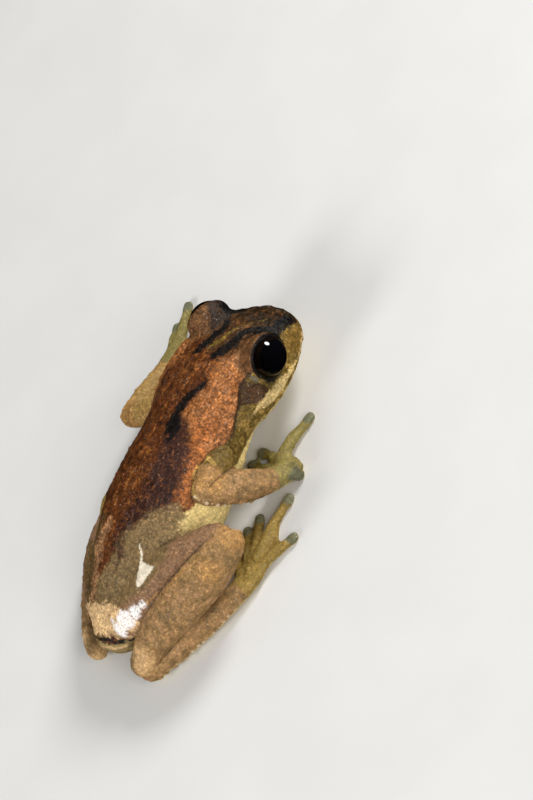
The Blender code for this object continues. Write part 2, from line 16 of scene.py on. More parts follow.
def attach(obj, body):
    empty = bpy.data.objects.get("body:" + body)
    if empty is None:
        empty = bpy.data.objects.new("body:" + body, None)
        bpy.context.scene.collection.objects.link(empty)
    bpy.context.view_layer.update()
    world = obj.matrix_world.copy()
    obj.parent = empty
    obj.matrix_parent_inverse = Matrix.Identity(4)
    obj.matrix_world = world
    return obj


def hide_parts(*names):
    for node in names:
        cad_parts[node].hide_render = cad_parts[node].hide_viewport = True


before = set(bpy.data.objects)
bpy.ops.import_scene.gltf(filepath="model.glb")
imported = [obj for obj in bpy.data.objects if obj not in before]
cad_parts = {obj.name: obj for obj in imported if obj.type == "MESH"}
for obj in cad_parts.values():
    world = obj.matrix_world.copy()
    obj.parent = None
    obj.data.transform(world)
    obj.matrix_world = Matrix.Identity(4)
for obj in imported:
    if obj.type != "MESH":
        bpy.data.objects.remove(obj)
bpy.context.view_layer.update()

bl_info = {
    "name": "Small brown tree frog",
    "version": (1, 0, 0),
    "blender": (4, 5, 0),
    "location": "View3D > Sidebar > Frog",
    "description": "Dresses the solids of a small brown tree frog with its skin and eyes",
    "category": "Object",
}

MM = 0.001
FLESH = [name for name in sorted(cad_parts) if not name.startswith("eye")]
FROG_ORIGIN = (-0.6494, 12.8586)  # the floor under the vent, in the world's millimetres

# The head's frame, as in the solids
HEAD_CENTRE = (1.2, 23.4, 5.8)
HEAD_TURN, HEAD_DIP, HEAD_TILT = 10.0, -14.0, 2.0
EYE_SPREAD = 3.2
EYE_AXIS = (0.93, 0.22, 0.16)
MOUTH_HEIGHT = -2.62
NOSTRIL = (1.12, 3.62, -0.92)
EAR = (-2.5, -0.75)  # forward and up from the head's centre
EAR_RADIUS = 0.6

# Half width of the head by its forward place, at the height of the mouth
HEAD_SIDES = (
    (-5.0, 4.28), (-3.4, 4.72), (-1.8, 4.72), (-0.2, 4.38), (1.2, 3.8), (2.4, 3.08), (3.3, 2.36),
    (3.95, 1.62), (4.33, 0.92), (4.5, 0.0),
)
# The back's midline: forward, and how far to the right it lies
MIDLINE = (
    (0.9, 0.35), (2.5, 0.2), (4.5, 0.2), (7.0, 0.3), (9.5, 0.3), (12.0, 0.35), (14.5, 0.45), (17.0, 0.6),
    (19.3, 0.8), (21.0, 0.95),
)
# The fold of skin from the eye over the ear and down the shoulder to the elbow
FOLD = (
    (4.45, 21.1, 6.4), (4.37, 20.58, 6.53), (4.33, 20.09, 6.61), (4.41, 19.39, 6.41), (4.59, 18.79, 6.16),
    (4.62, 18.08, 5.96), (4.63, 16.77, 5.4), (4.86, 15.76, 5.5), (4.78, 15.05, 6.0), (4.13, 14.5, 6.17),
)
# The crease across the inside of the right elbow
ELBOW_CREASE = (
    (4.4, 14.3, 6.2), (5.14, 14.12, 6.35), (5.61, 14.05, 5.88), (5.9, 14.2, 5.2), (6.08, 14.85, 4.12),
)
# The low ridges' two grooves along the right shank
SHANK_GROOVES = (
    ((8.2, 7.9, 5.6), (6.6, 4.6, 5.3), (5.0, 1.6, 4.5)),
    ((8.7, 7.6, 4.4), (7.0, 4.2, 4.0), (5.4, 1.2, 3.5)),
)
# The edge where the rump's skin runs out over the root of the right thigh
THIGH_EDGE = ((2.44, 2.23), (4.01, 3.72), (5.06, 5.06), (6.15, 6.62))

# Where one flesh node is pressed against another, with the joint round which the crease between them fades
CREASES = (
    ("thigh_right", "shank_right", (8.35, 9.25, 4.9), 1.5),
    ("shank_right", "tarsus_right", (3.6, -0.7, 1.6), 1.1),
    ("thigh_left", "shank_left", (-4.95, 9.7, 2.3), 1.3),
    ("shank_left", "tarsus_left", (-2.1, -1.0, 1.3), 1.0),
    ("upper_arm_right", "forearm_right", (5.45, 11.4, 5.85), 1.0),
    ("upper_arm_left", "forearm_left", (-8.05, 15.6, 3.1), 1.0),
    ("torso", "upper_arm_right", (3.4, 17.6, 4.4), 0.8),
    ("torso", "upper_arm_left", (-2.7, 17.4, 4.4), 0.8),
)
# What is pressed against the torso along its whole length
PRESSED = (
    "thigh_right", "thigh_left", "shank_right", "shank_left", "tarsus_right", "tarsus_left",
    "forearm_right",
)
THIGH_ROOT = (6.0, 7.6)  # behind the first of these forward places the thighs run smoothly into the rump

# The middle of each palm and sole, from which the digits run out
PALMS = {"hand_right": (6.6, 16.5, 0.8), "hand_left": (-9.25, 22.3, 0.8), "foot_right": (7.95, 8.6, 0.6),
         "foot_left": (-7.9, 8.4, 0.6)}
DIGIT_HOLD = 0.7  # how much less the digits are grown when the gaps are closed
SMOOTHING = {"body": 1.0, "limb": 0.32, "digit": 0.12}
SMOOTHING_ROUNDS = 70
SOCKET_RADIUS = 1.62
SKIN_TRIANGLES = 194000  # the number of triangles that the skin is thinned to; a little under the most that one piece may have


def turned_frame(turn, dip, tilt):
    """Right, forward and up directions of a piece turned right, pitched up and rolled by these degrees."""
    yaw, pitch, roll = (math.radians(a) for a in (turn, dip, tilt))
    forward = np.array([math.sin(yaw) * math.cos(pitch), math.cos(yaw) * math.cos(pitch), math.sin(pitch)])
    level = np.array([math.cos(yaw), -math.sin(yaw), 0.0])
    top = np.cross(level, forward)
    right = math.cos(roll) * level - math.sin(roll) * top
    return np.array([right, forward, np.cross(right, forward)])


HEAD_AXES = turned_frame(HEAD_TURN, HEAD_DIP, HEAD_TILT)


def from_frog(point):
    """A frog place in the world's millimetres, or many."""
    point = np.asarray(point, float)
    turned = point * (-1, -1, 1)
    return turned + (*FROG_ORIGIN, 0.0)


def to_frog(point):
    return (np.asarray(point, float) - (*FROG_ORIGIN, 0.0)) * (-1, -1, 1)


def to_head(frog_points):
    return (frog_points - np.array(HEAD_CENTRE)) @ HEAD_AXES.T


def head_to_frog(point):
    return np.array(HEAD_CENTRE) + np.asarray(point, float) @ HEAD_AXES


def smoothstep(low, high, value):
    """0 up to the low value and 1 from the high one, and the other way round where low is above high."""
    share = np.clip((value - low) / (high - low), 0, 1)
    return share * share * (3 - 2 * share)


def bell(value, width):
    """1 at 0 and falling away on both sides."""
    return np.exp(-((value / width) ** 2))


def near_route(points, route):
    """Distance of each point from a route, and the route's other columns there."""
    route = np.array(route, float)
    best = np.full(len(points), 1e9)
    extra = np.zeros((len(points), route.shape[1] - 3))
    share_along = np.zeros(len(points))
    for i, (a, b) in enumerate(zip(route, route[1:])):
        run = b[:3] - a[:3]
        share = np.clip((points - a[:3]) @ run / (run @ run), 0, 1)
        gap = np.linalg.norm(points - a[:3] - share[:, None] * run, axis=1)
        closer = gap < best
        best[closer] = gap[closer]
        extra[closer] = a[3:] + share[closer, None] * (b[3:] - a[3:])
        share_along[closer] = (i + share[closer]) / (len(route) - 1)
    return best, extra, share_along


def both_ends(share, reach):
    """1 along a route and 0 at its two ends, over this share of its length."""
    return smoothstep(0, reach, share) * smoothstep(0, reach, 1 - share)


def body_side(frog_points):
    """How far each point is from the back's midline, and the sign of its side."""
    line = np.array(MIDLINE)
    off = frog_points[:, 0] - np.interp(frog_points[:, 1], line[:, 0], line[:, 1])
    return np.abs(off), np.sign(off)


def waves(points, size, seed, octaves=3):
    """Smooth noise, about -1 to 1, with features of the given size in millimetres."""
    shift = Vector((seed * 17.3, seed * 5.1, seed * 29.7))
    return np.array([noise.fractal(Vector(p) / size + shift, 0.7, 2.1, octaves) for p in points])


def cells(points, size, seed):
    """Distance to the nearest point of a scatter, 0 at a point and about 1 between points."""
    shift = Vector((seed * 7.7, seed * 13.1, seed * 3.9))
    return np.array([noise.voronoi(Vector(p) / size + shift)[0][0] for p in points])


def deselect_all():
    for piece in bpy.context.selected_objects:
        piece.select_set(False)


def activate(piece):
    deselect_all()
    piece.select_set(True)
    bpy.context.view_layer.objects.active = piece


def apply_modifier(piece, kind, **settings):
    activate(piece)
    modifier = piece.modifiers.new(kind.lower(), kind)
    for key, value in settings.items():
        setattr(modifier, key, value)
    bpy.ops.object.modifier_apply(modifier=modifier.name)


def mesh_points(piece):
    points = np.empty(len(piece.data.vertices) * 3)
    piece.data.vertices.foreach_get("co", points)
    return points.reshape(-1, 3)


def mesh_normals(piece):
    normals = np.empty(len(piece.data.vertices) * 3)
    piece.data.vertex_normals.foreach_get("vector", normals)
    return normals.reshape(-1, 3)


def move_points(piece, points):
    piece.data.vertices.foreach_set("co", points.ravel())
    piece.data.update()


def push(piece, amount):
    """Moves each point out along its normal."""
    move_points(piece, mesh_points(piece) + mesh_normals(piece) * amount[:, None])


def store(piece, name, values):
    """Keeps one number a vertex for the material to read."""
    layer = piece.data.attributes.new(name, "FLOAT", "POINT")
    layer.data.foreach_set("value", np.ascontiguousarray(values, dtype=np.float32))


def set_group(piece, name, weights):
    group = piece.vertex_groups.new(name=name)
    for i, weight in enumerate(weights):
        group.add([i], float(weight), "REPLACE")


# Sizes and colours


def number(name, description, default, least=0.0):
    return bpy.props.FloatProperty(name=name, description=description, default=default, min=least)


def colour(name, description, default):
    return bpy.props.FloatVectorProperty(
        name=name, description=description, default=default, subtype="COLOR", size=3, min=0.0, max=1.0
    )


class FrogSizes(bpy.types.PropertyGroup):
    voxel: number("Skin detail", "Side of the skin's squares, in mm", 0.112, 0.08)
    close_gap: number("Gap closing", "How far the solids are grown to meet, in mm", 0.19)
    eye_radius: number("Eye radius", "Radius of the eyeball, in mm", 1.63)
    lid_radius: number("Lid radius", "Distance of the lids' rim from the eye's centre, in mm", 1.75)
    lid_angle: number("Lid opening", "Angle of the lids' rim off the eye's axis, in degrees", 71.0)
    granule: number("Granule height", "Height of the skin's granules, in mm", 0.062)
    wart: number("Wart height", "Height of the sparse low warts, in mm", 0.1)
    tubercle: number("Tubercle height", "Height of the pale tubercles on the limbs, in mm", 0.21)
    crease: number("Crease depth", "Depth of the creases where limbs are folded, in mm", 0.16)
    fold: number("Fold height", "Height of the fold over the ear, in mm", 0.13)


class FrogColours(bpy.types.PropertyGroup):
    back: colour("Back", "Red-brown of the back", (0.092, 0.026, 0.005))
    fleck: colour("Flecks", "Orange of the back's flecks", (0.28, 0.096, 0.018))
    strip: colour("Low side", "Olive brown of the lower back's left side", (0.135, 0.08, 0.026))
    rose: colour("Rose strip", "Pinkish brown by the lower back's midline", (0.38, 0.19, 0.084))
    black: colour("Black marks", "Streaks, bars and the nostril's blotch", (0.004, 0.0035, 0.003))
    band: colour("Bands", "Dark purple-brown beside the streaks", (0.036, 0.013, 0.009))
    salmon: colour("Shoulder", "Salmon orange of the shoulders", (0.345, 0.128, 0.036))
    ember: colour("Shoulder's end", "Redder orange down to the elbow", (0.4, 0.12, 0.022))
    shoulder: colour("Shoulder's sheen", "Pinkish tan of its lighter places", (0.48, 0.23, 0.1))
    rump: colour("Rump", "Olive grey of the lower back", (0.2, 0.129, 0.053))
    pale: colour("Pale patch", "Pale pink-cream patch over the vent", (0.7, 0.46, 0.225))
    white: colour("White", "White flecks by the thighs", (0.81, 0.72, 0.56))
    flank: colour("Flank", "Cream yellow of flanks and belly", (0.9, 0.69, 0.28))
    lip: colour("Lip", "Cream stripe of the upper lip", (0.6, 0.43, 0.18))
    jaw: colour("Jaw", "Olive of the jaw, shoulder and upper arm", (0.148, 0.092, 0.018))
    ear: colour("Ear patch", "Dark brown of the ear patch", (0.055, 0.026, 0.009))
    drum: colour("Eardrum", "Redder brown of the eardrum", (0.074, 0.032, 0.011))
    head: colour("Head", "Brown of the head's top", (0.062, 0.026, 0.006))
    snout: colour("Snout", "Dark olive-brown of the snout's top", (0.024, 0.012, 0.003))
    midline: colour("Midline", "Olive-yellow line between the eyes", (0.18, 0.115, 0.016))
    lid: colour("Lids", "Pinkish brown of the upper lids", (0.15, 0.068, 0.024))
    lore: colour("Lore", "Golden tan of the snout's side", (0.165, 0.093, 0.016))
    grey: colour("Lower lid", "Pale grey rim under the eye", (0.2, 0.175, 0.12))
    limb: colour("Limbs", "Tan of the limbs", (0.296, 0.172, 0.066))
    blotch: colour("Limb blotches", "Olive-brown blotches of the limbs", (0.19, 0.116, 0.05))
    rosy: colour("Limb flush", "Pinkish brown patches of the limbs", (0.42, 0.226, 0.104))
    knee: colour("Knees", "Orange of knees, heels and elbows", (0.385, 0.205, 0.066))
    thigh: colour("Thighs", "Purple-grey brown of the thighs", (0.235, 0.128, 0.066))
    cream: colour("Elbow border", "Yellow-cream border of the elbow", (0.46, 0.29, 0.074))
    digit: colour("Fingers", "Olive gold of hands and fingers", (0.24, 0.195, 0.058))
    toe: colour("Toes", "Golden olive of feet and toes", (0.27, 0.18, 0.04))
    disc: colour("Discs", "Grey of the digits' discs", (0.15, 0.152, 0.092))
    # Painted shade: the colour of the lines under the folds over the ears, in the right elbow's crease and in
    # the mouth's slit
    crease: colour("Creases", "Dark brown in the folds", (0.04, 0.02, 0.009))
    tubercle: colour("Tubercles", "White of the tubercles", (0.6, 0.48, 0.33))
    # Painted highlight: the glare of the wet skin over the right thigh's root, painted into the colour
    wet: colour("Wet skin", "Shine of the wet skin over the right thigh's root", (0.95, 0.9, 0.87))
    glint: colour("Glints", "Small pale glints over the moist skin", (0.8, 0.7, 0.58))
    eye: colour("Eye", "Brown-black of the iris", (0.0035, 0.0025, 0.002))
    eye_streak: colour("Iris streaks", "Lighter brown in the iris", (0.01, 0.005, 0.003))


class StageSettings(bpy.types.PropertyGroup):
    floor: colour("Floor", "Pale floor", (0.62, 0.615, 0.6))
    key: number("Key light", "Power of the main soft light, in watts", 0.72)
    side: number("Side light", "Power of the light from behind, in watts", 0.42)
    fill: number("Fill light", "Power of the light beside the camera, in watts", 0.46)
    sky: number("Sky", "Strength of the even light from all sides", 0.28)


# Skin


def nearest_nodes():
    """A search tree for each flesh node, in millimetres."""
    trees = {}
    for name in FLESH:
        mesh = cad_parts[name].data
        mesh.calc_loop_triangles()
        points = [v.co * 1000 for v in mesh.vertices]
        trees[name] = BVHTree.FromPolygons(points, [t.vertices[:] for t in mesh.loop_triangles])
    return trees


def node_distances(points, trees, reach=1.5):
    """Distance of each point from each flesh node, up to a reach."""
    found = {}
    for name, tree in trees.items():
        rows = [tree.find_nearest(Vector(p), reach)[3] for p in points]
        found[name] = np.array([reach if row is None else row for row in rows])
    return found


def digit_share(distance, frog):
    """1 on fingers and toes away from the palm or sole, 0 elsewhere."""
    share = np.zeros(len(frog))
    for name, palm in PALMS.items():
        own = distance[name] <= np.min([distance[other] for other in FLESH], axis=0) + 0.02
        far = smoothstep(0.9, 1.9, np.linalg.norm(frog - np.array(palm), axis=1))
        share = np.where(own, np.maximum(share, far), share)
    return share


class FROG_OT_skin(bpy.types.Operator):
    """Closes the gaps between the flesh solids and makes one even skin of them"""

    bl_idname = "frog.skin"
    bl_label = "Skin"

    def execute(self, context):
        sizes = context.scene.frog_sizes
        skin = self.joined(context)
        trees = nearest_nodes()
        points = mesh_points(skin)
        hold = 1 - DIGIT_HOLD * digit_share(node_distances(points, trees), to_frog(points))
        set_group(skin, "grow", hold)
        apply_modifier(skin, "DISPLACE", strength=sizes.close_gap, mid_level=0.0, vertex_group="grow")
        self.fill_sockets(context, skin)
        skin.vertex_groups.clear()
        apply_modifier(skin, "REMESH", mode="VOXEL", voxel_size=sizes.voxel, adaptivity=0.0)
        points = mesh_points(skin)
        hold = 1 - DIGIT_HOLD * digit_share(node_distances(points, trees), to_frog(points))
        push(skin, -hold * sizes.close_gap)
        self.calm(skin, trees)
        return {"FINISHED"}

    def joined(self, context):
        """One mesh of all the flesh solids, in millimetres."""
        copies = []
        for name in FLESH:
            copy = bpy.data.objects.new("skin_" + name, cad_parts[name].data.copy())
            context.scene.collection.objects.link(copy)
            copies.append(copy)
        deselect_all()
        for copy in copies:
            copy.select_set(True)
        skin = copies[0]
        context.view_layer.objects.active = skin
        bpy.ops.object.join()
        skin.name = skin.data.name = "skin"
        skin.data.transform(Matrix.Scale(1 / MM, 4))
        skin.data.materials.clear()
        bpy.ops.object.mode_set(mode="EDIT")
        bpy.ops.mesh.select_all(action="SELECT")
        bpy.ops.mesh.remove_doubles(threshold=0.001)
        bpy.ops.mesh.select_all(action="DESELECT")
        bpy.ops.object.mode_set(mode="OBJECT")
        return skin

    def fill_sockets(self, context, skin):
        """A ball under each eyeball, so that the skin runs on beneath it."""
        balls = []
        for side in (1, -1):
            centre = from_frog(head_to_frog((side * EYE_SPREAD, 0, 0)))
            deselect_all()
            bpy.ops.mesh.primitive_uv_sphere_add(
                segments=32, ring_count=20, radius=SOCKET_RADIUS, location=centre
            )
            balls.append(context.object)
            bpy.ops.object.transform_apply(location=True, rotation=True, scale=True)
        deselect_all()
        for ball in balls:
            ball.select_set(True)
        skin.select_set(True)
        context.view_layer.objects.active = skin
        bpy.ops.object.join()

    def calm(self, skin, trees):
        """Evens out the facets, more on the body than on the limbs and digits."""
        points = mesh_points(skin)
        frog = to_frog(points)
        distance = node_distances(points, trees)
        body = np.minimum(distance["torso"], distance["head"])
        others = np.min([distance[n] for n in FLESH if n not in ("torso", "head")], axis=0)
        thighs = np.minimum(distance["thigh_right"], distance["thigh_left"])
        root = smoothstep(*THIGH_ROOT[::-1], frog[:, 1]) * smoothstep(3.0, 4.0, frog[:, 2])
        root = root * (thighs <= others + 0.05)
        weight = np.where(body < others, SMOOTHING["body"], SMOOTHING["limb"])
        weight = np.where(digit_share(distance, frog) > 0.3, SMOOTHING["digit"], weight)
        meet = bell(body - others, 0.5) * (1 - root)
        weight = np.minimum(weight, 1 - 0.75 * meet)
        weight = np.maximum(weight, root * bell(body - others, 0.9))
        head = to_head(frog)
        for side in (1, -1):
            _, reach, angle = eye_polar(head, side)
            lid = bell(reach - 1.7, 0.5) * (1 - smoothstep(80, 105, angle))
            weight = np.minimum(weight, 1 - 0.85 * lid)
        set_group(skin, "calm", weight)
        apply_modifier(skin, "SMOOTH", factor=0.5, iterations=SMOOTHING_ROUNDS, vertex_group="calm")
        skin.vertex_groups.clear()


def eye_axis(side):
    """The way an eye looks, in the head's frame."""
    axis = np.array(EYE_AXIS) * (side, 1, 1)
    return axis / np.linalg.norm(axis)


def eye_polar(head, side):
    """Each point's offset and distance from an eye's centre, and its angle off the eye's axis, in degrees."""
    away = head - np.array((side * EYE_SPREAD, 0, 0))
    reach = np.linalg.norm(away, axis=1)
    angle = np.degrees(np.arccos(np.clip(away @ eye_axis(side) / np.maximum(reach, 1e-6), -1, 1)))
    return away, reach, angle


def mouth_line():
    """The line of the mouth in the head's frame, from one corner round the snout to the other."""
    rows = np.array(HEAD_SIDES)
    side = []
    for forward in (*np.linspace(-3.3, 3.3, 12), 3.7, 4.05, 4.3):
        wide = float(np.interp(forward, rows[:, 0], rows[:, 1]))
        sag = 0.12 * math.sin(math.pi * (forward + 3.3) / 5)
        side.append((wide, forward, MOUTH_HEIGHT + sag))
    return side + [(0.0, 4.5, MOUTH_HEIGHT + 0.05)] + [(-r, f, u) for r, f, u in reversed(side)]


def other_side(route):
    """The same route on the left: mirrored by the head in front of the shoulders, by the back behind them."""
    route = np.array(route, float)
    spots = route[:, :3]
    line = np.array(MIDLINE)
    by_back = spots.copy()
    by_back[:, 0] = 2 * np.interp(spots[:, 1], line[:, 0], line[:, 1]) - spots[:, 0]
    by_head = head_to_frog(to_head(spots) * (-1, 1, 1))
    share = smoothstep(16.5, 20.5, spots[:, 1])[:, None]
    return np.hstack([share * by_head + (1 - share) * by_back, route[:, 3:]])


def skin_tree(skin):
    """A search tree of the skin, to lay routes on it."""
    points = [v.co for v in skin.data.vertices]
    return BVHTree.FromPolygons(points, [p.vertices[:] for p in skin.data.polygons])


def laid(tree, route, steps=6):
    """A frog route made finer and brought down to the skin."""
    route = np.array(route, float)
    at = np.linspace(0, len(route) - 1, (len(route) - 1) * steps + 1)
    fine = np.stack([np.interp(at, np.arange(len(route)), column) for column in route.T], 1)
    for row in fine:
        row[:3] = to_frog(tree.find_nearest(Vector(from_frog(row[:3])))[0])
    return fine


class FROG_OT_features(bpy.types.Operator):
    """Shapes the lids, mouth, nostrils, ears, folds, granules and tubercles in the skin"""

    bl_idname = "frog.features"
    bl_label = "Features of the skin"

    def execute(self, context):
        sizes = context.scene.frog_sizes
        skin = bpy.data.objects["skin"]
        distance = node_distances(mesh_points(skin), nearest_nodes())
        self.lids(skin, sizes)
        self.mouth(skin)
        self.nostrils(skin)
        self.ears(skin)
        self.folds(skin, sizes)
        self.creases(skin, sizes, distance)
        self.granules(skin, sizes, distance)
        self.tubercles(skin, sizes)
        self.thin(skin)
        points = mesh_points(skin)
        points[:, 2] = np.maximum(points[:, 2], 0.0)
        move_points(skin, points)
        return {"FINISHED"}

    def lids(self, skin, sizes):
        for side in (1, -1):
            head = to_head(to_frog(mesh_points(skin)))
            away, reach, angle = eye_polar(head, side)
            near = (reach < 2.4) & (angle < 108)
            level = away[:, 2] / np.maximum(reach, 1e-6)
            rim = sizes.lid_angle + 2.0 * level
            ball = sizes.eye_radius - 0.1
            brow = sizes.lid_radius + 0.06 * smoothstep(-0.1, 0.6, level)
            lid = np.maximum(brow, reach * smoothstep(rim - 2, rim + 12, angle))
            wanted = ball + (lid - ball) * smoothstep(rim - 4, rim + 1.5, angle)
            keep = smoothstep(rim + 7, rim + 24, angle)
            wanted = wanted * (1 - keep) + reach * keep
            moved = away * (wanted / np.maximum(reach, 1e-6))[:, None] + (side * EYE_SPREAD, 0, 0)
            head[near] = moved[near]
            move_points(skin, from_frog(head_to_frog(head)))

    def mouth(self, skin):
        head = to_head(to_frog(mesh_points(skin)))
        gap, _, share = near_route(head, mouth_line())
        height = np.interp(np.abs(head[:, 0]), [0, 4.7], [MOUTH_HEIGHT + 0.05, MOUTH_HEIGHT])
        above = np.where(head[:, 2] > height, gap, -gap)
        slit = -0.15 * bell(above, 0.1)
        lips = 0.06 * bell(above - 0.27, 0.16) + 0.04 * bell(above + 0.27, 0.16)
        push(skin, (slit + lips) * both_ends(share, 0.06) * (head[:, 1] > -3.6))

    def nostrils(self, skin):
        head = to_head(to_frog(mesh_points(skin)))
        for side in (1, -1):
            off = np.linalg.norm(head - np.array((side * NOSTRIL[0], *NOSTRIL[1:])), axis=1)
            push(skin, 0.07 * bell(off - 0.28, 0.13) - 0.22 * bell(off, 0.15))

    def ears(self, skin):
        head = to_head(to_frog(mesh_points(skin)))
        off = np.hypot(head[:, 1] - EAR[0], head[:, 2] - EAR[1])
        ring = 0.07 * bell(off - EAR_RADIUS, 0.13)
        drum = -0.05 * smoothstep(EAR_RADIUS, EAR_RADIUS - 0.3, off)
        push(skin, (ring + drum) * (np.abs(head[:, 0]) > 2.0))

    def folds(self, skin, sizes):
        """The fold over each ear, the crease in the right elbow and the two grooves along the right shank."""
        tree = skin_tree(skin)
        frog = to_frog(mesh_points(skin))
        amount = np.zeros(len(frog))
        for route, sign in ((FOLD, 1), (other_side(FOLD), -1)):
            gap, _, share = near_route(frog, laid(tree, route))
            forwards = np.array(route)[::-1]
            centre = np.interp(frog[:, 1], forwards[:, 1], forwards[:, 0])
            outer = np.where((frog[:, 0] - centre) * sign > 0, gap, -gap)
            ridge = bell(outer + 0.15, 0.22) * sizes.fold
            amount += (ridge - 0.1 * bell(outer - 0.12, 0.13)) * both_ends(share, 0.12)
        grooves = [(groove, 0.07, 0.2) for groove in SHANK_GROOVES]
        for route, depth, ends in ((ELBOW_CREASE, 0.08, 0.15), *grooves):
            gap, _, share = near_route(frog, laid(tree, route))
            amount -= depth * bell(gap, 0.16) * both_ends(share, ends)
        push(skin, amount)

    def creases(self, skin, sizes, distance):
        frog = to_frog(mesh_points(skin))
        depth = np.zeros(len(frog))
        for first, second, joint, fade in (*CREASES, *[("torso", name, None, 0.0) for name in PRESSED]):
            a, b = distance[first], distance[second]
            meet = bell(a - b, 0.2) * smoothstep(1.0, 0.4, a + b)
            if joint:
                meet *= smoothstep(fade * 0.6, fade * 1.5, np.linalg.norm(frog - np.array(joint), axis=1))
            if second.startswith("thigh"):
                meet *= np.maximum(smoothstep(*THIGH_ROOT, frog[:, 1]), smoothstep(4.0, 3.0, frog[:, 2]))
            depth = np.maximum(depth, meet)
        # The same share darkens the colour in the material: painted shade where limbs press against the body
        # and each other
        store(skin, "crease", depth)
        push(skin, -depth * sizes.crease)

    def granules(self, skin, sizes, distance):
        points = mesh_points(skin)
        frog = to_frog(points)
        swell = waves(points, 1.6, 2)
        granules = (0.5 - cells(points, 0.34, 1)) * sizes.granule * (1 + 0.5 * swell)
        warts = sizes.wart * bell(cells(points, 0.95, 3), 0.22)
        eyes = np.min([eye_polar(to_head(frog), side)[1] for side in (1, -1)], axis=0)
        rough = (1 - 0.75 * digit_share(distance, frog)) * smoothstep(1.6, 2.1, eyes)
        push(skin, (granules + swell * 0.03 + warts) * rough)

    def tubercles(self, skin, sizes):
        tree = skin_tree(skin)
        points = mesh_points(skin)
        amount = np.zeros(len(points))
        for spot, share in tubercle_spots():
            spot = np.array(tree.find_nearest(Vector(from_frog(spot)))[0])
            off = np.linalg.norm(points - spot, axis=1)
            amount = np.maximum(amount, sizes.tubercle * share * bell(off, 0.14 * share))
        store(skin, "tubercle", amount / sizes.tubercle)
        push(skin, amount)

    def thin(self, skin):
        """Merges the skin's least needed faces, down to the number that one piece may have."""
        skin.data.calc_loop_triangles()
        apply_modifier(skin, "DECIMATE", ratio=SKIN_TRIANGLES / len(skin.data.loop_triangles))


# The rows of tubercles along the outer edges of forearms and tarsi, with the number in each
TUBERCLE_ROWS = (
    (((5.36, 11.37, 6.69), (5.74, 11.24, 6.31), (6.23, 11.37, 5.76), (6.61, 11.84, 4.75), (6.89, 12.46, 3.74),
      (6.8, 13.2, 2.6)), 13),
    (((-9.3, 16.4, 2.5), (-9.6, 18.0, 2.0), (-9.7, 20.0, 1.2)), 7),
    (((4.2, -1.0, 0.8), (5.32, 0.47, 0.5), (6.49, 2.11, 0.86), (7.07, 3.24, 0.66), (7.88, 4.84, 0.85),
      (8.44, 6.31, 0.77)), 15),
    (((-2.8, -1.4, 0.9), (-5.2, 1.4, 0.6), (-6.9, 4.0, 0.5), (-7.9, 6.4, 0.5)), 12),
)


def tubercle_spots():
    """The tubercles' places and their sizes as shares of the largest, a little uneven."""
    pick = np.random.default_rng(5)
    for route, count in TUBERCLE_ROWS:
        route = np.array(route, float)
        for i in range(count):
            at = (i + 0.5 + pick.uniform(-0.2, 0.2)) / count * (len(route) - 1)
            k = min(int(at), len(route) - 2)
            spot = route[k] + (at - k) * (route[k + 1] - route[k])
            yield spot, pick.uniform(0.6, 1.15)


# Markings

# The middles of the discs that show, seen from above
TIPS = (
    (2.65, 16.05), (3.0, 17.15), (5.85, 20.85), (7.5, 16.35), (-7.0, 22.9), (-7.6, 25.5), (-11.1, 26.15),
    (-11.1, 24.3), (5.2, 9.5), (5.3, 11.35), (5.85, 12.55), (7.65, 14.7), (9.8, 12.1), (-6.2, 10.4),
    (-6.4, 11.8), (-7.3, 13.0), (-8.75, 14.3), (-9.4, 11.3),
)


def patch(plane, outline):
    """Signed distance from an outline's edge in a plane; above 0 is inside it."""
    outline = np.array(outline, float)
    gap = np.full(len(plane), 1e9)
    inside = np.zeros(len(plane), bool)
    for a, b in zip(outline, np.roll(outline, -1, axis=0)):
        run = b - a
        share = np.clip((plane - a) @ run / (run @ run), 0, 1)
        gap = np.minimum(gap, np.linalg.norm(plane - a - share[:, None] * run, axis=1))
        crosses = (a[1] > plane[:, 1]) != (b[1] > plane[:, 1])
        at = a[0] + (plane[:, 1] - a[1]) / (run[1] if run[1] else 1e-9) * run[0]
        inside ^= crosses & (plane[:, 0] < at)
    return np.where(inside, gap, -gap)


def nearer(distance, *names):
    """How much nearer each point is to these nodes than to any other."""
    others = np.min([distance[n] for n in FLESH if n not in names], axis=0)
    return others - np.min([distance[n] for n in names], axis=0) - 0.02


def balls(points, spots):
    """Signed distance from the nearest of some balls, each a centre and a radius; above 0 is inside one."""
    depths = [radius - np.linalg.norm(points - np.array(middle), axis=1) for *middle, radius in spots]
    return np.max(depths, axis=0)


class SkinMap:
    """The skin's points in the frog's and the head's frames, and lines drawn on the skin.

    A line and every marking is a signed distance, in millimetres, from its edge; above 0 is inside it.
    """

    def __init__(self, skin, distance):
        self.tree = skin_tree(skin)
        self.distance = distance
        self.frog = to_frog(mesh_points(skin))
        self.right, self.forward, self.height = self.frog.T
        self.plan = self.frog[:, :2]
        self.facing_up = mesh_normals(skin)[:, 2]
        self.head = to_head(self.frog)
        self.across = np.abs(self.head[:, 0])
        self.profile = self.head[:, 1:]
        self.trunk = np.minimum(distance["torso"], distance["head"])
        self.limbs = np.min([distance[n] for n in FLESH if n not in ("torso", "head")], axis=0)
        self.off_torso = distance["torso"] - distance["head"]

    def line(self, route, space=None):
        gap, extra, _ = near_route(self.frog if space is None else space, route)
        return extra[:, 0] - gap

    def from_above(self, *route):
        """A line on the back at any height; the third column is its half width."""
        return self.line([(r, f, 0.0, wide) for r, f, wide in route], self.frog * (1, 1, 0))

    def drawn(self, *route):
        """A line laid on the skin itself; the fourth column is its half width."""
        return self.line(laid(self.tree, route))

    def on_head(self, *route, sides=(1, -1)):
        """The same, given in the head's frame, on one side or both."""
        found = []
        for side in sides:
            found.append(self.drawn(*[(*head_to_frog((r * side, f, u)), wide) for r, f, u, wide in route]))
        return np.max(found, axis=0)

    def own(self, kind):
        return nearer(self.distance, kind + "_right", kind + "_left")


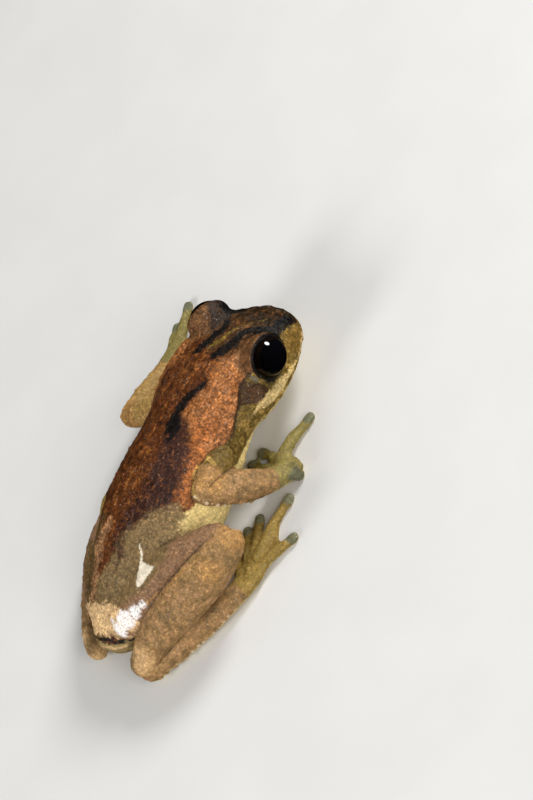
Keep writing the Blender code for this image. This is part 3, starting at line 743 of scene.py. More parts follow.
def back_marks(skin):
    right, forward = skin.right, skin.forward
    shoulder = (
        (1.9, 21.8), (1.7, 20.4), (2.15, 19.4), (2.2, 18.9), (1.7, 17.8), (1.4, 16.9), (1.5, 16.3),
        (2.4, 15.7), (3.0, 14.6), (3.35, 13.3), (3.5, 11.9), (3.9, 10.3), (5.2, 10.15), (6.2, 14.0),
        (6.0, 20.0), (4.8, 22.6), (3.0, 22.9),
    )
    middle = np.array(MIDLINE).T
    left_shoulder = [(2 * np.interp(f, *middle) - r - 2.0 * (r < 3.0), f) for r, f in shoulder]
    right_band = skin.from_above(
        (1.1, 16.4, 0.3), (1.6, 15.4, 0.9), (2.1, 14.4, 1.15), (2.4, 13.0, 1.15), (2.5, 11.4, 1.2),
        (2.4, 10.2, 1.0), (1.7, 9.3, 0.45), (1.0, 8.1, 0.38), (0.75, 6.8, 0.3), (1.0, 5.3, 0.25),
    )
    left_band = skin.from_above(
        (-2.5, 19.9, 0.1), (-2.25, 18.2, 0.16), (-2.3, 16.0, 0.2), (-2.6, 14.0, 0.3), (-2.9, 11.5, 0.3),
    )
    return {
        "strip": np.minimum(-0.7 - right - 0.25 * (forward - 4.0), 7.6 - forward),
        "rose": skin.from_above((-0.6, 7.4, 0.3), (-1.1, 5.6, 0.65), (-1.15, 4.5, 0.75), (-0.95, 2.6, 0.8)),
        "salmon": np.maximum(patch(skin.plan, shoulder), patch(skin.plan, left_shoulder)),
        "ember": skin.from_above((3.6, 16.6, 0.35), (3.3, 14.9, 0.65), (3.55, 13.0, 0.55), (3.9, 11.2, 0.35)),
        "band": np.maximum(right_band, left_band),
    }


def head_top_marks(skin):
    head, across = skin.head, skin.across
    near_eye = np.min([eye_polar(head, side)[1] for side in (1, -1)], axis=0)
    right_front = -0.6 * (head[:, 0] - 2.2) + 0.8 * (head[:, 1] - 0.55)
    left_front = 0.747 * (head[:, 0] + 2.02) + 0.664 * (head[:, 1] + 0.56)
    front = np.minimum(np.where(head[:, 0] > 0, right_front, left_front), np.maximum(2.05 - near_eye, -1.0))
    return {
        "head": np.minimum(skin.off_torso + 0.8, head[:, 1] + 2.2 - 1.4 * smoothstep(1.0, 2.2, across)),
        "snout": head[:, 1] - 1.25,
        "lid": np.minimum(2.15 - near_eye, head[:, 2] + 0.5),
        "lid_front": np.minimum(front, head[:, 2] + 0.3),
        "lid_flush": skin.on_head(
            (2.0, -2.1, 1.1, 0.3), (2.2, -1.2, 1.4, 0.55), (2.4, -0.4, 1.4, 0.35), sides=(1,),
        ),
        "midline": skin.on_head(
            (-0.62, -2.1, 0.9, 0.08), (-0.43, -1.31, 0.92, 0.19), (-0.19, -0.68, 0.92, 0.17),
            (-0.16, -0.18, 0.9, 0.14), (-0.05, 0.68, 0.75, 0.06), (0.54, 1.67, 0.44, 0.05),
            (0.82, 2.68, -0.1, 0.04), sides=(1,),
        ),
    }


def head_side_marks(skin):
    """The side of the head, the shoulder under the fold, and the flank."""
    head, profile, across, forward = skin.head, skin.profile, skin.across, skin.forward
    on_head = skin.off_torso + 0.3
    side, sign = body_side(skin.frog)
    fold = np.array(FOLD)[::-1]
    below_fold = np.interp(forward, fold[:, 1], fold[:, 2]) - skin.height - 0.05
    below_fold = np.where(sign > 0, below_fold, below_fold - 0.3)
    behind_ear = np.minimum(below_fold, np.minimum(forward - 13.6, side - 2.4))
    cheek = patch(profile, (
        (-6.5, -0.9), (-4.0, -0.5), (-2.9, 0.15), (-1.2, -0.9), (1.0, -1.35), (1.9, -1.0), (2.6, -0.9),
        (3.6, -1.7), (4.6, -2.0), (4.8, -7.0), (-6.5, -7.0),
    ))
    lore = patch(profile, (
        (1.55, -0.85), (1.95, -0.3), (2.55, -0.6), (3.25, -1.15), (4.05, -1.85), (5.2, -2.1), (5.2, -2.9),
        (2.3, -2.9), (1.85, -1.75),
    ))
    ear = patch(profile, (
        (-2.75, 0.22), (-2.1, -0.15), (-1.45, -0.95), (-1.55, -1.35), (-2.45, -1.42), (-3.4, -0.95),
        (-4.0, -0.62), (-3.4, -0.15),
    ))
    flank_top = np.interp(forward, [0, 3, 6, 7.2, 8.5, 9.6, 10.6, 12, 14, 15, 21],
                          [3.2, 3.7, 4.9, 5.5, 6.0, 6.05, 5.5, 5.25, 5.0, 3.6, 3.0])
    return {
        "jaw": np.maximum(behind_ear, np.minimum(cheek, on_head)),
        "lore": np.minimum(lore, across - 0.7),
        "throat": np.minimum(np.minimum(-3.1 - head[:, 2], head[:, 1] + 6.0), on_head),
        "flank": np.minimum(flank_top - skin.height, 0.3 - skin.off_torso),
        "ear": np.minimum(ear, across - 2.6),
        "drum": np.minimum(0.5 - np.hypot(profile[:, 0] - EAR[0], profile[:, 1] - EAR[1]), across - 2.6),
        "lip": skin.on_head(
            (1.6, 3.95, -2.35, 0.03), (2.5, 2.95, -2.4, 0.08), (3.23, 1.91, -2.45, 0.08),
            (3.81, 1.15, -2.25, 0.12), (4.0, 0.73, -2.15, 0.2), (4.38, -0.26, -2.1, 0.46),
            (4.6, -1.2, -2.0, 0.46), (4.71, -2.04, -1.85, 0.46), (4.8, -2.77, -1.7, 0.34),
            (4.67, -3.6, -1.8, 0.02),
        ),
        "grey": skin.on_head(
            (3.75, -1.85, 0.15, 0.1), (4.0, -1.8, -0.3, 0.2), (4.3, -1.5, -0.75, 0.24),
            (4.45, -1.0, -1.1, 0.2), (4.5, -0.2, -1.35, 0.1), (4.3, 0.6, -1.35, 0.05),
        ),
    }


def limb_marks(skin):
    hand, foot = skin.own("hand"), skin.own("foot")
    tips = np.max([0.62 - np.hypot(*(skin.plan - np.array(tip)).T) for tip in TIPS], axis=0)
    right_arm = np.minimum(skin.own("upper_arm"), skin.forward - 13.8)
    knees = (
        (9.2, 9.9, 5.3, 1.25), (8.9, 6.8, 5.4, 0.9), (4.1, -0.7, 3.0, 1.35), (-5.0, 9.9, 2.9, 1.1),
        (-2.1, -1.5, 1.8, 1.1), (-8.2, 15.4, 3.6, 1.9), (5.9, 12.9, 6.4, 1.15),
    )
    return {
        "limb": skin.trunk - skin.limbs,
        "olive_arm": np.minimum(right_arm, np.where(skin.right > 0, 1.0, -1.0)),
        "left_arm": nearer(skin.distance, "forearm_left", "upper_arm_left"),
        "thigh": skin.own("thigh"),
        "digit": hand,
        "toe": foot,
        "knee": balls(skin.frog, knees),
        "heel": balls(skin.frog, ((4.1, -0.7, 3.0, 1.25), (-2.1, -1.5, 1.8, 1.8))),
        "cream": skin.drawn(
            (5.5, 11.3, 6.6, 0.15), (5.0, 11.6, 6.75, 0.28), (4.5, 12.1, 6.5, 0.3), (4.25, 12.9, 6.3, 0.3),
            (4.35, 13.7, 6.35, 0.3), (4.5, 14.3, 6.3, 0.2), (5.3, 14.0, 6.2, 0.12),
        ),
        "disc": np.minimum(tips, np.minimum(1.3 - skin.height, np.maximum(hand, foot) + 0.1)),
        "seam": skin.drawn(
            (3.0, 1.6, 5.0, 0.05), (4.3, 3.0, 5.2, 0.1), (5.9, 4.7, 5.5, 0.13), (7.2, 6.3, 5.9, 0.13),
            (8.2, 7.6, 5.95, 0.06),
        ),
    }


def rump_marks(skin):
    """The rump, over the roots of the thighs, and what lies round the vent."""
    plan, height = skin.plan, skin.height
    on_top = height - 4.0
    rump = (
        (1.2, 7.3), (1.9, 8.1), (2.35, 9.2), (2.97, 9.75), (3.8, 10.5), (4.2, 10.3), (4.28, 9.5),
        (4.33, 8.7), (4.5, 7.9), (5.4, 6.7), *THIGH_EDGE[::-1][1:], (0.5, 1.7), (-0.5, 2.0), (-0.2, 3.4),
        (0.45, 4.6), (0.9, 5.6), (0.75, 6.6),
    )
    left_root = ((-0.9, 4.0), (-2.2, 6.2), (-4.3, 6.0), (-3.6, 4.2), (-2.2, 2.2), (-0.9, 1.9))
    pale = (
        (-2.3, 1.5), (-1.4, 1.95), (-0.38, 1.79), (0.81, 2.05), (1.95, 2.05), (3.2, 1.9), (3.7, 1.7),
        (3.2, 1.0), (2.1, 0.45), (0.9, 0.05), (0.2, -0.05), (-0.6, -0.12), (-1.6, -0.1), (-2.3, 0.5),
    )
    white = ((2.85, 5.65), (4.75, 5.6), (4.35, 4.7), (3.65, 3.75), (3.15, 4.6))
    stain = skin.from_above(
        (3.3, 10.4, 0.35), (2.9, 9.9, 0.5), (2.35, 9.3, 0.42), (2.0, 8.6, 0.36), (1.6, 8.0, 0.42),
        (1.0, 7.1, 0.34), (1.05, 6.3, 0.24), (1.34, 5.9, 0.26), (1.3, 5.2, 0.2), (1.2, 4.3, 0.05),
    )
    white_tail = skin.drawn((2.57, 6.69, 6.69, 0.04), (2.84, 6.14, 6.28, 0.08), (2.95, 5.6, 6.05, 0.14))
    seat_height = np.minimum(3.3 - height, height - 1.6)
    return {
        "rump": np.minimum(patch(plan, rump), on_top),
        "stain": np.minimum(stain, on_top),
        "left_root": np.minimum(patch(plan, left_root), on_top + 0.6),
        "pale": np.minimum(patch(plan, pale), height - 3.45),
        "vent": skin.drawn(
            (-1.7, 0.0, 3.5, 0.06), (-1.0, -0.25, 3.45, 0.1), (-0.2, -0.28, 3.45, 0.1),
            (0.83, -0.02, 3.5, 0.12), (1.45, -0.05, 3.3, 0.17), (2.1, 0.3, 3.2, 0.12),
            (2.9, 0.75, 3.35, 0.06),
        ),
        "seat": np.minimum(seat_height, np.minimum(1.6 - skin.forward, 3.2 - np.abs(skin.right - 0.7))),
        "vent_rim": skin.drawn(
            (-0.2, -0.6, 2.9, 0.08), (0.65, -0.56, 2.95, 0.14), (1.65, -0.29, 2.8, 0.14),
            (2.3, 0.1, 2.8, 0.06),
        ),
        "white": np.maximum(np.minimum(patch(plan, white), height - 5.0), white_tail),
    }


def dark_marks(skin):
    """The black streak, bars and blotch, and the dark lines of folds, eyes and mouth: painted shade under the
    folds, in the right elbow's crease and in the mouth's slit, and at the lids' rims their dark edge with
    painted shade.
    """
    streak = skin.drawn(
        (1.72, 19.55, 6.9, 0.12), (1.88, 19.0, 7.4, 0.28), (1.58, 18.46, 7.61, 0.33),
        (1.22, 17.71, 7.66, 0.32), (0.98, 16.92, 7.65, 0.3), (0.88, 16.1, 7.64, 0.36),
        (0.95, 15.4, 7.64, 0.42), (0.85, 14.7, 7.64, 0.22),
    )
    streak_end = skin.drawn(
        (1.15, 16.2, 7.6, 0.3), (1.4, 15.5, 7.6, 0.42), (1.45, 14.8, 7.6, 0.3), (1.35, 14.2, 7.6, 0.1),
    )
    left_bar = skin.on_head(
        (-1.45, -2.8, 0.8, 0.2), (-1.23, -1.99, 0.85, 0.36), (-1.09, -1.02, 0.89, 0.36),
        (-0.9, -0.17, 0.88, 0.32), (-1.3, 0.5, 1.0, 0.3), sides=(1,),
    )
    right_bar = skin.on_head(
        (0.22, -2.35, 0.89, 0.26), (0.6, -1.63, 0.91, 0.44), (0.87, -0.76, 0.91, 0.44),
        (0.82, -0.16, 0.89, 0.38), (0.77, 0.46, 0.79, 0.3), (1.08, 0.98, 0.61, 0.36),
        (1.6, 1.35, 0.45, 0.5), (2.0, 1.68, 0.18, 0.6), (2.3, 1.7, 0.0, 0.55), sides=(1,),
    )
    blotch = skin.on_head(
        (2.5, 1.3, 0.4, 0.7), (1.95, 2.2, -0.1, 0.42), (1.75, 2.8, -0.45, 0.46), (1.45, 3.4, -0.95, 0.5),
        (1.2, 3.85, -1.25, 0.32),
    )
    # Painted shade in the right elbow's crease and along the shaded side below each fold over the ear
    lines = [skin.drawn(*[(*place, 0.0) for place in ELBOW_CREASE])]
    for route in (FOLD, other_side(FOLD)):
        lines.append(skin.drawn(*[(r, f, u - 0.1, 0.15 if f > 16 else 0.02) for r, f, u in route]))
    # The lids' rims round the eyes, wider above: partly their dark edge, partly painted shade where they meet
    # the eyeball
    rims = []
    for side in (1, -1):
        _, reach, angle = eye_polar(skin.head, side)
        opening = np.where(skin.head[:, 2] > -0.4, 74.8, 72.6)
        rims.append(np.minimum(opening - angle, 12 * (2.3 - reach)) / 36)
    return {
        "black": np.max([streak, streak_end, left_bar, right_bar, blotch], axis=0),
        "dark_line": np.max(lines, axis=0),
        "eye_rim": np.max(rims, axis=0),
        # Painted shade in the mouth's slit
        "mouth": np.minimum(0.07 - near_route(skin.head, mouth_line())[0], skin.head[:, 1] + 3.4),
    }


def under_and_wet_glare_marks(skin):
    belly_top = np.where(skin.trunk < skin.limbs, 3.4, 1.4)
    # Balls where the wet skin's glare is painted into the colour as a pale highlight, and where the skin is
    # made glossier
    wet = (
        (2.9, 1.5, 4.9, 0.85), (2.3, 0.9, 4.3, 0.75), (3.6, 2.3, 5.0, 0.6), (4.1, 3.0, 5.2, 0.42),
        (1.7, 1.1, 4.8, 0.35),
    )
    return {
        "belly": np.minimum(belly_top - skin.height, -1.5 * (skin.facing_up + 0.45)),
        "wet": balls(skin.frog, wet),
    }


MARK_GROUPS = (
    back_marks, head_top_marks, head_side_marks, limb_marks, rump_marks, dark_marks, under_and_wet_glare_marks,
)


# Each marking: its layer, its colour, how ragged its edge is and how soft, in mm, and how strongly it covers
MARKINGS = (
    ("strip", "strip", 1.2, 1.6, 0.9),
    ("rose", "rose", 0.8, 0.6, 0.8),
    ("salmon", "salmon", 1.2, 0.8, 0.95),
    ("ember", "ember", 1.2, 0.9, 0.55),
    ("band", "band", 1.3, 0.7, 0.92),
    ("head", "head", 0.9, 1.0, 0.9),
    ("snout", "snout", 0.6, 0.8, 0.95),
    ("lid", "lid", 0.3, 0.5, 0.9),
    ("lid_flush", "shoulder", 0.5, 0.6, 0.22),
    ("midline", "midline", 0.16, 0.14, 0.8),
    ("jaw", "jaw", 0.25, 0.25, 1.0),
    ("throat", "lip", 0.5, 0.8, 0.45),
    ("flank", "flank", 0.35, 0.22, 1.0),
    ("lore", "lore", 0.22, 0.25, 0.95),
    ("lid_front", "black", 0.4, 0.4, 0.8),
    ("ear", "ear", 0.18, 0.14, 0.95),
    ("drum", "drum", 0.1, 0.25, 0.8),
    ("lip", "lip", 0.34, 0.2, 0.95),
    ("grey", "grey", 0.15, 0.12, 0.8),
    ("limb", "limb", 0.12, 0.12, 1.0),
    ("olive_arm", "jaw", 0.2, 0.25, 0.95),
    ("thigh", "thigh", 0.15, 0.2, 0.9),
    ("left_arm", "cream", 0.3, 0.3, 0.5),
    ("knee", "knee", 0.6, 0.8, 0.85),
    ("heel", "pale", 0.8, 0.9, 0.55),
    ("cream", "cream", 0.12, 0.2, 0.85),
    ("digit", "digit", 0.4, 0.6, 0.95),
    ("toe", "toe", 0.4, 0.6, 0.9),
    ("disc", "disc", 0.12, 0.3, 0.9),
    ("belly", "flank", 0.3, 0.8, 0.9),
    ("seam", "knee", 0.08, 0.12, 0.7),
    ("rump", "rump", 0.7, 0.4, 0.97),
    ("stain", "band", 1.1, 0.5, 0.8),
    ("left_root", "strip", 0.7, 0.5, 0.95),
    ("pale", "pale", 1.0, 0.35, 0.95),
    ("seat", "rump", 0.5, 0.6, 0.85),
    ("vent_rim", "pale", 0.25, 0.1, 0.6),
    ("vent", "black", 0.36, 0.12, 0.95),
    ("white", "white", 0.3, 0.12, 0.95),
    ("black", "black", 0.55, 0.18, 0.97),
    # Painted shade: under the folds, in the elbow's crease and in the mouth's slit; at the lids' rims partly
    # their dark edge and partly painted shade
    ("dark_line", "crease", 0.1, 0.14, 0.85),
    ("mouth", "crease", 0.04, 0.08, 0.75),
    ("eye_rim", "black", 0.02, 0.05, 0.95),
)


# Patches of another tone inside a marking: the noise they follow, where they start and are full, how strongly
# they cover, and their colour
BAND_FLECKS = (("short flecks", 0.54, 0.66, 0.55, "fleck"),)
HEAD_FLECKS = (("flecks", 0.52, 0.66, 0.5, "fleck"),)
TONES = {
    "limb": (("patches", 0.48, 0.38, 0.7, "blotch"), ("patches", 0.5, 0.6, 0.55, "rosy")),
    "salmon": (("patches", 0.46, 0.36, 0.45, "fleck"), ("patches", 0.54, 0.64, 0.5, "shoulder"),
               ("short flecks", 0.45, 0.36, 0.65, "back")),
    "jaw": (("patches", 0.5, 0.62, 0.55, "cream"),),
    "band": BAND_FLECKS,
    "stain": BAND_FLECKS,
    "head": HEAD_FLECKS,
    "snout": HEAD_FLECKS,
}
# Where the mottling is calmer: the marking, over how many mm inside it that sets in, and how calm it gets
CALM = (
    ("flank", 0.3, 0.55), ("limb", 0.1, 0.38), ("pale", 0.2, 0.35), ("white", 0.1, 0.8),
    ("rump", 0.2, 0.25), ("jaw", 0.2, 0.3),
)
# The noises' own stretch along the body, where flecks are longer than wide
ALONG = 0.38


class Graph:
    """A material's nodes, added one by one, on places in millimetres."""

    def __init__(self, name):
        self.material = bpy.data.materials.new(name)
        self.material.use_nodes = True
        self.nodes = self.material.node_tree.nodes
        self.links = self.material.node_tree.links
        self.nodes.clear()
        self.where = self.in_millimetres(1.0)

    def add(self, kind, **settings):
        node = self.nodes.new("ShaderNode" + kind)
        for key, value in settings.items():
            setattr(node, key, value)
        return node

    def put(self, socket, value):
        """Links another node's socket, or sets a number, a vector or a colour."""
        if hasattr(value, "is_output"):
            self.links.new(value, socket)
        elif socket.type == "RGBA":
            socket.default_value = (*value, 1.0)
        else:
            socket.default_value = value

    def math(self, operation, *values):
        node = self.add("Math", operation=operation)
        for socket, value in zip(node.inputs, values):
            self.put(socket, value)
        return node.outputs[0]

    def times(self, first, second):
        return self.math("MULTIPLY", first, second)

    def ramp(self, value, low, high, to_low=0.0, to_high=1.0):
        node = self.add("MapRange", interpolation_type="SMOOTHSTEP")
        for socket, setting in zip(node.inputs, (value, low, high, to_low, to_high)):
            self.put(socket, setting)
        return node.outputs["Result"]

    def mix(self, share, first, second):
        node = self.add("Mix", data_type="RGBA")
        for place, value in ((0, share), (6, first), (7, second)):
            self.put(node.inputs[place], value)
        return node.outputs[2]

    def scaled(self, tone, factor):
        node = self.add("VectorMath", operation="SCALE")
        self.put(node.inputs[0], tone)
        self.put(node.inputs["Scale"], factor)
        return node.outputs[0]

    def attribute(self, name):
        return self.add("Attribute", attribute_name=name).outputs["Fac"]

    def in_millimetres(self, along):
        scale = self.add("Mapping")
        scale.inputs["Scale"].default_value = (1 / MM, along / MM, 1 / MM)
        self.put(scale.inputs["Vector"], self.add("TexCoord").outputs["Object"])
        return scale.outputs["Vector"]

    def noise(self, size, detail=3.0, rough=0.6, where=None):
        node = self.add("TexNoise")
        inputs = {"Vector": where or self.where, "Scale": 1.0 / size, "Detail": detail, "Roughness": rough}
        for key, value in inputs.items():
            self.put(node.inputs[key], value)
        return node.outputs["Fac"]

    def scatter(self, size):
        """Distance from the nearest of scattered points."""
        node = self.add("TexVoronoi")
        self.put(node.inputs["Vector"], self.where)
        self.put(node.inputs["Scale"], 1.0 / size)
        return node.outputs["Distance"]

    def bump(self, height, strength, distance):
        node = self.add("Bump")
        for key, value in (("Height", height), ("Strength", strength), ("Distance", distance)):
            self.put(node.inputs[key], value)
        return node.outputs["Normal"]

    def finished(self, inputs):
        """The material, with a surface that has these inputs."""
        shader = self.add("BsdfPrincipled")
        for key, value in inputs.items():
            self.put(shader.inputs[key], value)
        self.put(self.add("OutputMaterial").inputs["Surface"], shader.outputs[0])
        return self.material


def marked_tone(graph, colours, noises):
    """The back's own red-brown with every marking laid over it, their edges ragged."""
    tone = graph.mix(graph.ramp(noises["flecks"], 0.5, 0.66, 0.0, 0.75), colours.back, colours.fleck)
    tone = graph.mix(graph.ramp(noises["blotches"], 0.45, 0.33, 0.0, 0.6), tone, colours.band)
    for layer, paint, edge, soft, cover in MARKINGS:
        reach = graph.math("MULTIPLY_ADD", noises["ragged"], edge * 2, graph.attribute(layer))
        ink = getattr(colours, paint)
        for which, start, full, strength, other in TONES.get(layer, ()):
            patches = graph.ramp(noises[which], start, full, 0.0, strength)
            ink = graph.mix(patches, ink, getattr(colours, other))
        tone = graph.mix(graph.ramp(reach, -soft / 2, soft / 2, 0.0, cover), tone, ink)
    return tone


def mottled(graph, tone, noises, along):
    """Pale granules on darker ground, at three sizes, bright dots that are partly pale granules and partly
    painted glints, and dark specks, calmer in some markings.
    """
    calm = 0.0
    for layer, reach, amount in CALM:
        calm = graph.math("MAXIMUM", calm, graph.ramp(graph.attribute(layer), -0.1, reach, 0.0, amount))
    lively = graph.math("SUBTRACT", 1.0, calm)
    light = graph.ramp(noises["fine"], 0.3, 0.72, 0.5, 1.5)
    light = graph.times(light, graph.ramp(noises["middle"], 0.32, 0.68, 0.66, 1.34))
    light = graph.times(light, graph.ramp(noises["blotches"], 0.25, 0.75, 0.86, 1.14))
    light = graph.times(light, graph.ramp(noises["grain"], 0.05, 0.75, 1.3, 0.72))
    light = graph.math("ADD", graph.times(light, lively), calm)
    specks = graph.times(graph.ramp(graph.noise(0.27, 3.0, 0.7, along), 0.41, 0.31, 0.0, 0.6), lively)
    tone = graph.mix(specks, tone, graph.scaled(tone, 0.28))
    tone = graph.scaled(tone, light)
    # Bright dots: partly pale granules, partly painted glints
    granules_and_glints = graph.times(graph.ramp(graph.scatter(0.34), 0.26, 0.12), graph.ramp(noises["middle"], 0.46, 0.56))
    return graph.mix(graph.times(granules_and_glints, 0.6), tone, graph.scaled(tone, 1.9))


def skin_material(colours):
    graph = Graph("moist skin")
    along = graph.in_millimetres(ALONG)
    noises = {
        "ragged": graph.math("SUBTRACT", graph.noise(0.55, 4.0, 0.75), 0.5),
        "flecks": graph.noise(0.42, 4.0, 0.7, along),
        "short flecks": graph.noise(0.2, 3.0, 0.7, along),
        "blotches": graph.noise(1.15, 3.0, 0.65),
        "middle": graph.noise(0.4, 3.0, 0.65),
        "patches": graph.noise(0.75, 3.0, 0.7),
        "fine": graph.noise(0.16, 3.0, 0.7),
        "grain": graph.scatter(0.24),
    }
    tone = mottled(graph, marked_tone(graph, colours, noises), noises, along)
    glints = graph.ramp(graph.noise(0.13, 2.0), 0.64, 0.7)
    glints = graph.times(glints, graph.ramp(noises["blotches"], 0.44, 0.58))
    glints = graph.times(glints, graph.ramp(graph.attribute("black"), -0.1, 0.1, 0.28, 0.1))
    tone = graph.mix(glints, tone, colours.glint)
    # Painted shade: the colour darkened in the creases where limbs press against the body and each other
    crease = graph.ramp(graph.attribute("crease"), 0.45, 1.0, 0.0, 0.8)
    tone = graph.mix(crease, tone, graph.scaled(tone, 0.22))
    tone = graph.mix(graph.ramp(graph.attribute("tubercle"), 0.25, 0.8, 0.0, 0.85), tone, colours.tubercle)
    # Painted highlight: the wet skin's glare is painted pale into the colour over the right thigh's root, where
    # the skin is also made glossier
    wet = graph.math("ADD", graph.attribute("wet"), graph.times(noises["ragged"], 0.8))
    wet = graph.ramp(wet, -0.05, 0.25)
    painted_glare = graph.times(wet, graph.ramp(noises["fine"], 0.36, 0.5, 0.2, 0.98))
    tone = graph.mix(painted_glare, tone, colours.wet)
    relief = graph.math("ADD", noises["fine"], graph.times(noises["grain"], -0.8))
    film = graph.math("ADD", graph.noise(0.09, 2.0, 0.7), graph.times(noises["grain"], -0.9))
    rough = graph.ramp(noises["blotches"], 0.3, 0.75, 0.4, 0.56)
    rough = graph.math("SUBTRACT", rough, graph.times(wet, 0.27))
    return graph.finished({
        "Base Color": tone,
        "Normal": graph.bump(relief, 0.9, 0.06 * MM),
        "Roughness": rough,
        "Specular IOR Level": 0.14,
        "Coat Weight": 0.12,
        "Coat Roughness": 0.16,
        "Coat Normal": graph.bump(film, 1.0, 0.12 * MM),
        "Subsurface Weight": 0.1,
        "Subsurface Radius": (1.0, 0.45, 0.2),
        "Subsurface Scale": 0.3 * MM,
    })


class FROG_OT_markings(bpy.types.Operator):
    """Lays the markings over the skin, with a painted highlight of wet glare, painted glints and painted shade
    in its creases, and gives it its moist, mottled finish
    """

    bl_idname = "frog.markings"
    bl_label = "Markings"

    def execute(self, context):
        skin = bpy.data.objects["skin"]
        distance = node_distances(mesh_points(skin), nearest_nodes())
        points = SkinMap(skin, distance)
        for marks in MARK_GROUPS:
            for name, values in marks(points).items():
                store(skin, name, values)
        skin.data.transform(Matrix.Scale(MM, 4))
        skin.data.materials.append(skin_material(context.scene.frog_colours))
        activate(skin)
        bpy.ops.object.shade_smooth()
        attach(skin, "root")
        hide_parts(*FLESH)
        return {"FINISHED"}


# Eyes

CORNEA_DOME = 0.02  # how far the cornea stands out, as a share of the radius
EYE_BACK = 0.1  # behind this share of the radius the eyeball is flattened
IRIS_EDGE = 66.0  # degrees off the eye's axis


def eye_material(colours):
    """Near black, with the iris's faint streaks up to a darker pupil and the white hidden by the lids."""
    graph = Graph("wet eye")
    iris = graph.attribute("iris")
    tone = graph.mix(graph.ramp(graph.noise(0.25, 3.0, 0.7), 0.3, 0.7), colours.eye, colours.eye_streak)
    tone = graph.mix(graph.ramp(iris, 0.84, 0.8), tone, (0.002, 0.002, 0.003))
    tone = graph.mix(graph.ramp(iris, 0.92, 1.0), tone, (0.004, 0.003, 0.003))
    return graph.finished({"Base Color": tone, "Roughness": 0.03, "IOR": 1.38})


class FROG_OT_eyes(bpy.types.Operator):
    """Shapes the two eyeballs, their corneas a little domed, and seats them between the lids"""

    bl_idname = "frog.eyes"
    bl_label = "Eyes"

    def execute(self, context):
        radius = context.scene.frog_sizes.eye_radius
        material = eye_material(context.scene.frog_colours)
        for name, side in (("right", 1), ("left", -1)):
            axis = eye_axis(side) @ HEAD_AXES * (-1, -1, 1)
            centre = Vector(from_frog(head_to_frog((side * EYE_SPREAD, 0, 0))))
            deselect_all()
            bpy.ops.mesh.primitive_uv_sphere_add(segments=64, ring_count=48, radius=radius)
            eye = context.object
            eye.name = eye.data.name = "eyeball_" + name
            points = mesh_points(eye)
            height = points[:, 2] / radius
            points *= 1 + CORNEA_DOME * smoothstep(0.55, 1.0, height)[:, None]
            flat = EYE_BACK * radius + (height - EYE_BACK) * 0.3
            points[:, 2] = np.where(height < EYE_BACK, flat, points[:, 2])
            move_points(eye, points)
            store(eye, "iris", np.degrees(np.arccos(np.clip(height, -1, 1))) / IRIS_EDGE)
            turn = Vector(axis).to_track_quat("Z", "Y").to_matrix().to_4x4()
            eye.data.transform(Matrix.Translation(centre) @ turn)
            eye.data.transform(Matrix.Scale(MM, 4))
            eye.data.materials.append(material)
            activate(eye)
            bpy.ops.object.shade_smooth()
            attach(eye, "root")
            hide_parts("eye_" + name)
        return {"FINISHED"}


# Stage

# The view in the photo, in the frog's frame: the way back to the camera, what is up in the picture, the place
# that the camera stands back from and the place in the picture's middle
VIEW_BACK = (0.7167, -0.1264, 0.6858)
VIEW_UP = (-0.2291, 0.8862, 0.4027)
VIEW_FROM = (0.0, 12.0, 4.0)
VIEW_AT = (3.118, 20.547, 2.316)
VIEW_DISTANCE = 300.0
LENS = 186.3
SENSOR = 36.0
NEAREST, FARTHEST = 0.01, 10.0  # metres
LIGHTS_AT = (1, 12, 3)  # the place on the frog that the lights face
LIGHT_DISTANCE = 0.28
SKY_TINT = (1.0, 0.99, 0.97, 1)
# Each light: its name, the way it comes from in the frog's frame, its width in metres, whether gloss shows it
LIGHTS = (
    ("key", (0.15, 0.84, 0.52), 0.085, True),
    ("side", (-0.06, -0.83, 0.56), 0.1, True),
    ("fill", (0.86, -0.05, 0.5), 0.16, True),
)


def world_point(frog):
    return Vector(from_frog(frog)) * MM


def world_direction(frog):
    return Vector(np.array(frog) * (-1, -1, 1)).normalized()


def look_along(piece, back, up):
    right = up.cross(back).normalized()
    up = back.cross(right).normalized()
    piece.rotation_euler = Matrix((right, up, back)).transposed().to_euler()


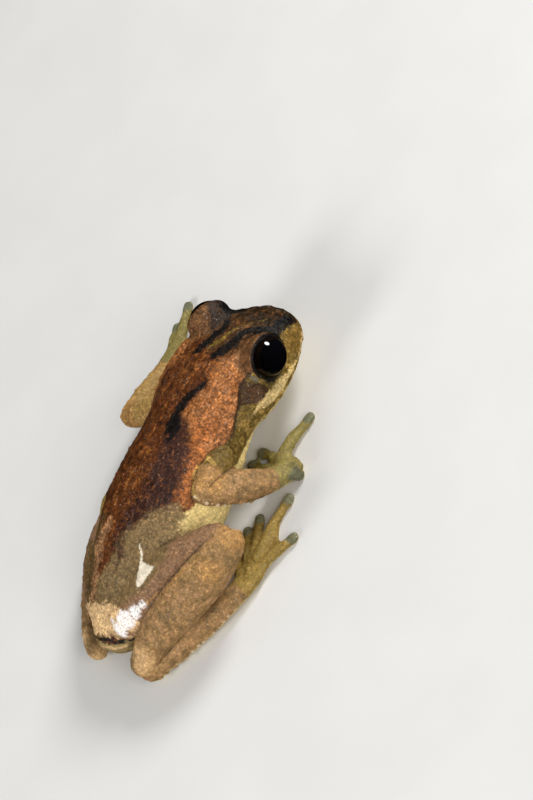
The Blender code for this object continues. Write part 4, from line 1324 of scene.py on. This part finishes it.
class FROG_OT_stage(bpy.types.Operator):
    """Sets the pale floor, the soft lights and the camera"""

    bl_idname = "frog.stage"
    bl_label = "Stage"

    def execute(self, context):
        stage = context.scene.frog_stage
        self.make_floor(context, stage)
        self.make_lights(context, stage)
        self.make_camera(context)
        return {"FINISHED"}

    def make_floor(self, context, stage):
        deselect_all()
        bpy.ops.mesh.primitive_plane_add(size=2.0, location=(0, 0, 0))
        floor = context.object
        floor.name = floor.data.name = "floor"
        graph = Graph("pale floor")
        clouds = graph.ramp(graph.noise(9.0, 2.0), 0.3, 0.7)
        tone = graph.mix(clouds, stage.floor, [c * 0.97 for c in stage.floor])
        floor.data.materials.append(graph.finished({"Base Color": tone, "Roughness": 0.8}))
        floor.visible_glossy = False

    def make_lights(self, context, stage):
        world = bpy.data.worlds.new("studio")
        context.scene.world = world
        world.use_nodes = True
        sky = world.node_tree.nodes["Background"]
        sky.inputs["Color"].default_value = SKY_TINT
        sky.inputs["Strength"].default_value = stage.sky
        world.cycles_visibility.glossy = False
        for name, direction, width, glossy in LIGHTS:
            bpy.ops.object.light_add(type="AREA", location=(0, 0, 0))
            light = context.object
            light.name = light.data.name = name
            light.data.shape = "DISK"
            light.data.size = width
            light.data.energy = getattr(stage, name)
            light.visible_glossy = glossy
            away = world_direction(direction)
            light.location = world_point(LIGHTS_AT) + away * LIGHT_DISTANCE
            look_along(light, away, Vector((0, 0, 1)))
        # Only the main light reaches the eyes, which hold one highlight each
        eyes = bpy.data.collections.new("lit by the main light alone")
        for piece in ("eyeball_right", "eyeball_left"):
            eyes.objects.link(bpy.data.objects[piece])
        for member in eyes.collection_objects:
            member.light_linking.link_state = "EXCLUDE"
        for name in ("side", "fill"):
            bpy.data.objects[name].light_linking.receiver_collection = eyes

    def make_camera(self, context):
        bpy.ops.object.camera_add(location=(0, 0, 0))
        camera = context.object
        camera.name = camera.data.name = "camera"
        eye = np.array(VIEW_FROM) + VIEW_DISTANCE * np.array(VIEW_BACK)
        camera.location = world_point(eye)
        look_along(camera, world_direction(eye - np.array(VIEW_AT)), world_direction(VIEW_UP))
        camera.data.lens = LENS
        camera.data.sensor_width = SENSOR
        camera.data.clip_start = NEAREST
        camera.data.clip_end = FARTHEST
        context.scene.camera = camera
        context.scene.view_settings.view_transform = "Standard"


# Panel


OPERATORS = (FROG_OT_skin, FROG_OT_features, FROG_OT_markings, FROG_OT_eyes, FROG_OT_stage)
GROUPS = {"frog_sizes": FrogSizes, "frog_colours": FrogColours, "frog_stage": StageSettings}


class FROG_PT_panel(bpy.types.Panel):
    """Lists the frog's pieces and their sizes and colours"""

    bl_idname = "FROG_PT_panel"
    bl_label = "Small brown tree frog"
    bl_space_type = "VIEW_3D"
    bl_region_type = "UI"
    bl_category = "Frog"

    def draw(self, context):
        for operator in OPERATORS:
            self.layout.operator(operator.bl_idname)
        for name, group in GROUPS.items():
            box = self.layout.box()
            for field in group.__annotations__:
                box.prop(getattr(context.scene, name), field)


CLASSES = (*GROUPS.values(), *OPERATORS, FROG_PT_panel)


def register():
    for kind in CLASSES:
        bpy.utils.register_class(kind)
    for name, group in GROUPS.items():
        setattr(bpy.types.Scene, name, bpy.props.PointerProperty(type=group))


def unregister():
    for name in GROUPS:
        delattr(bpy.types.Scene, name)
    for kind in reversed(CLASSES):
        bpy.utils.unregister_class(kind)


def main():
    register()
    bpy.ops.frog.skin()
    bpy.ops.frog.features()
    bpy.ops.frog.markings()
    bpy.ops.frog.eyes()
    bpy.ops.frog.stage()


if __name__ == "__main__":
    main()
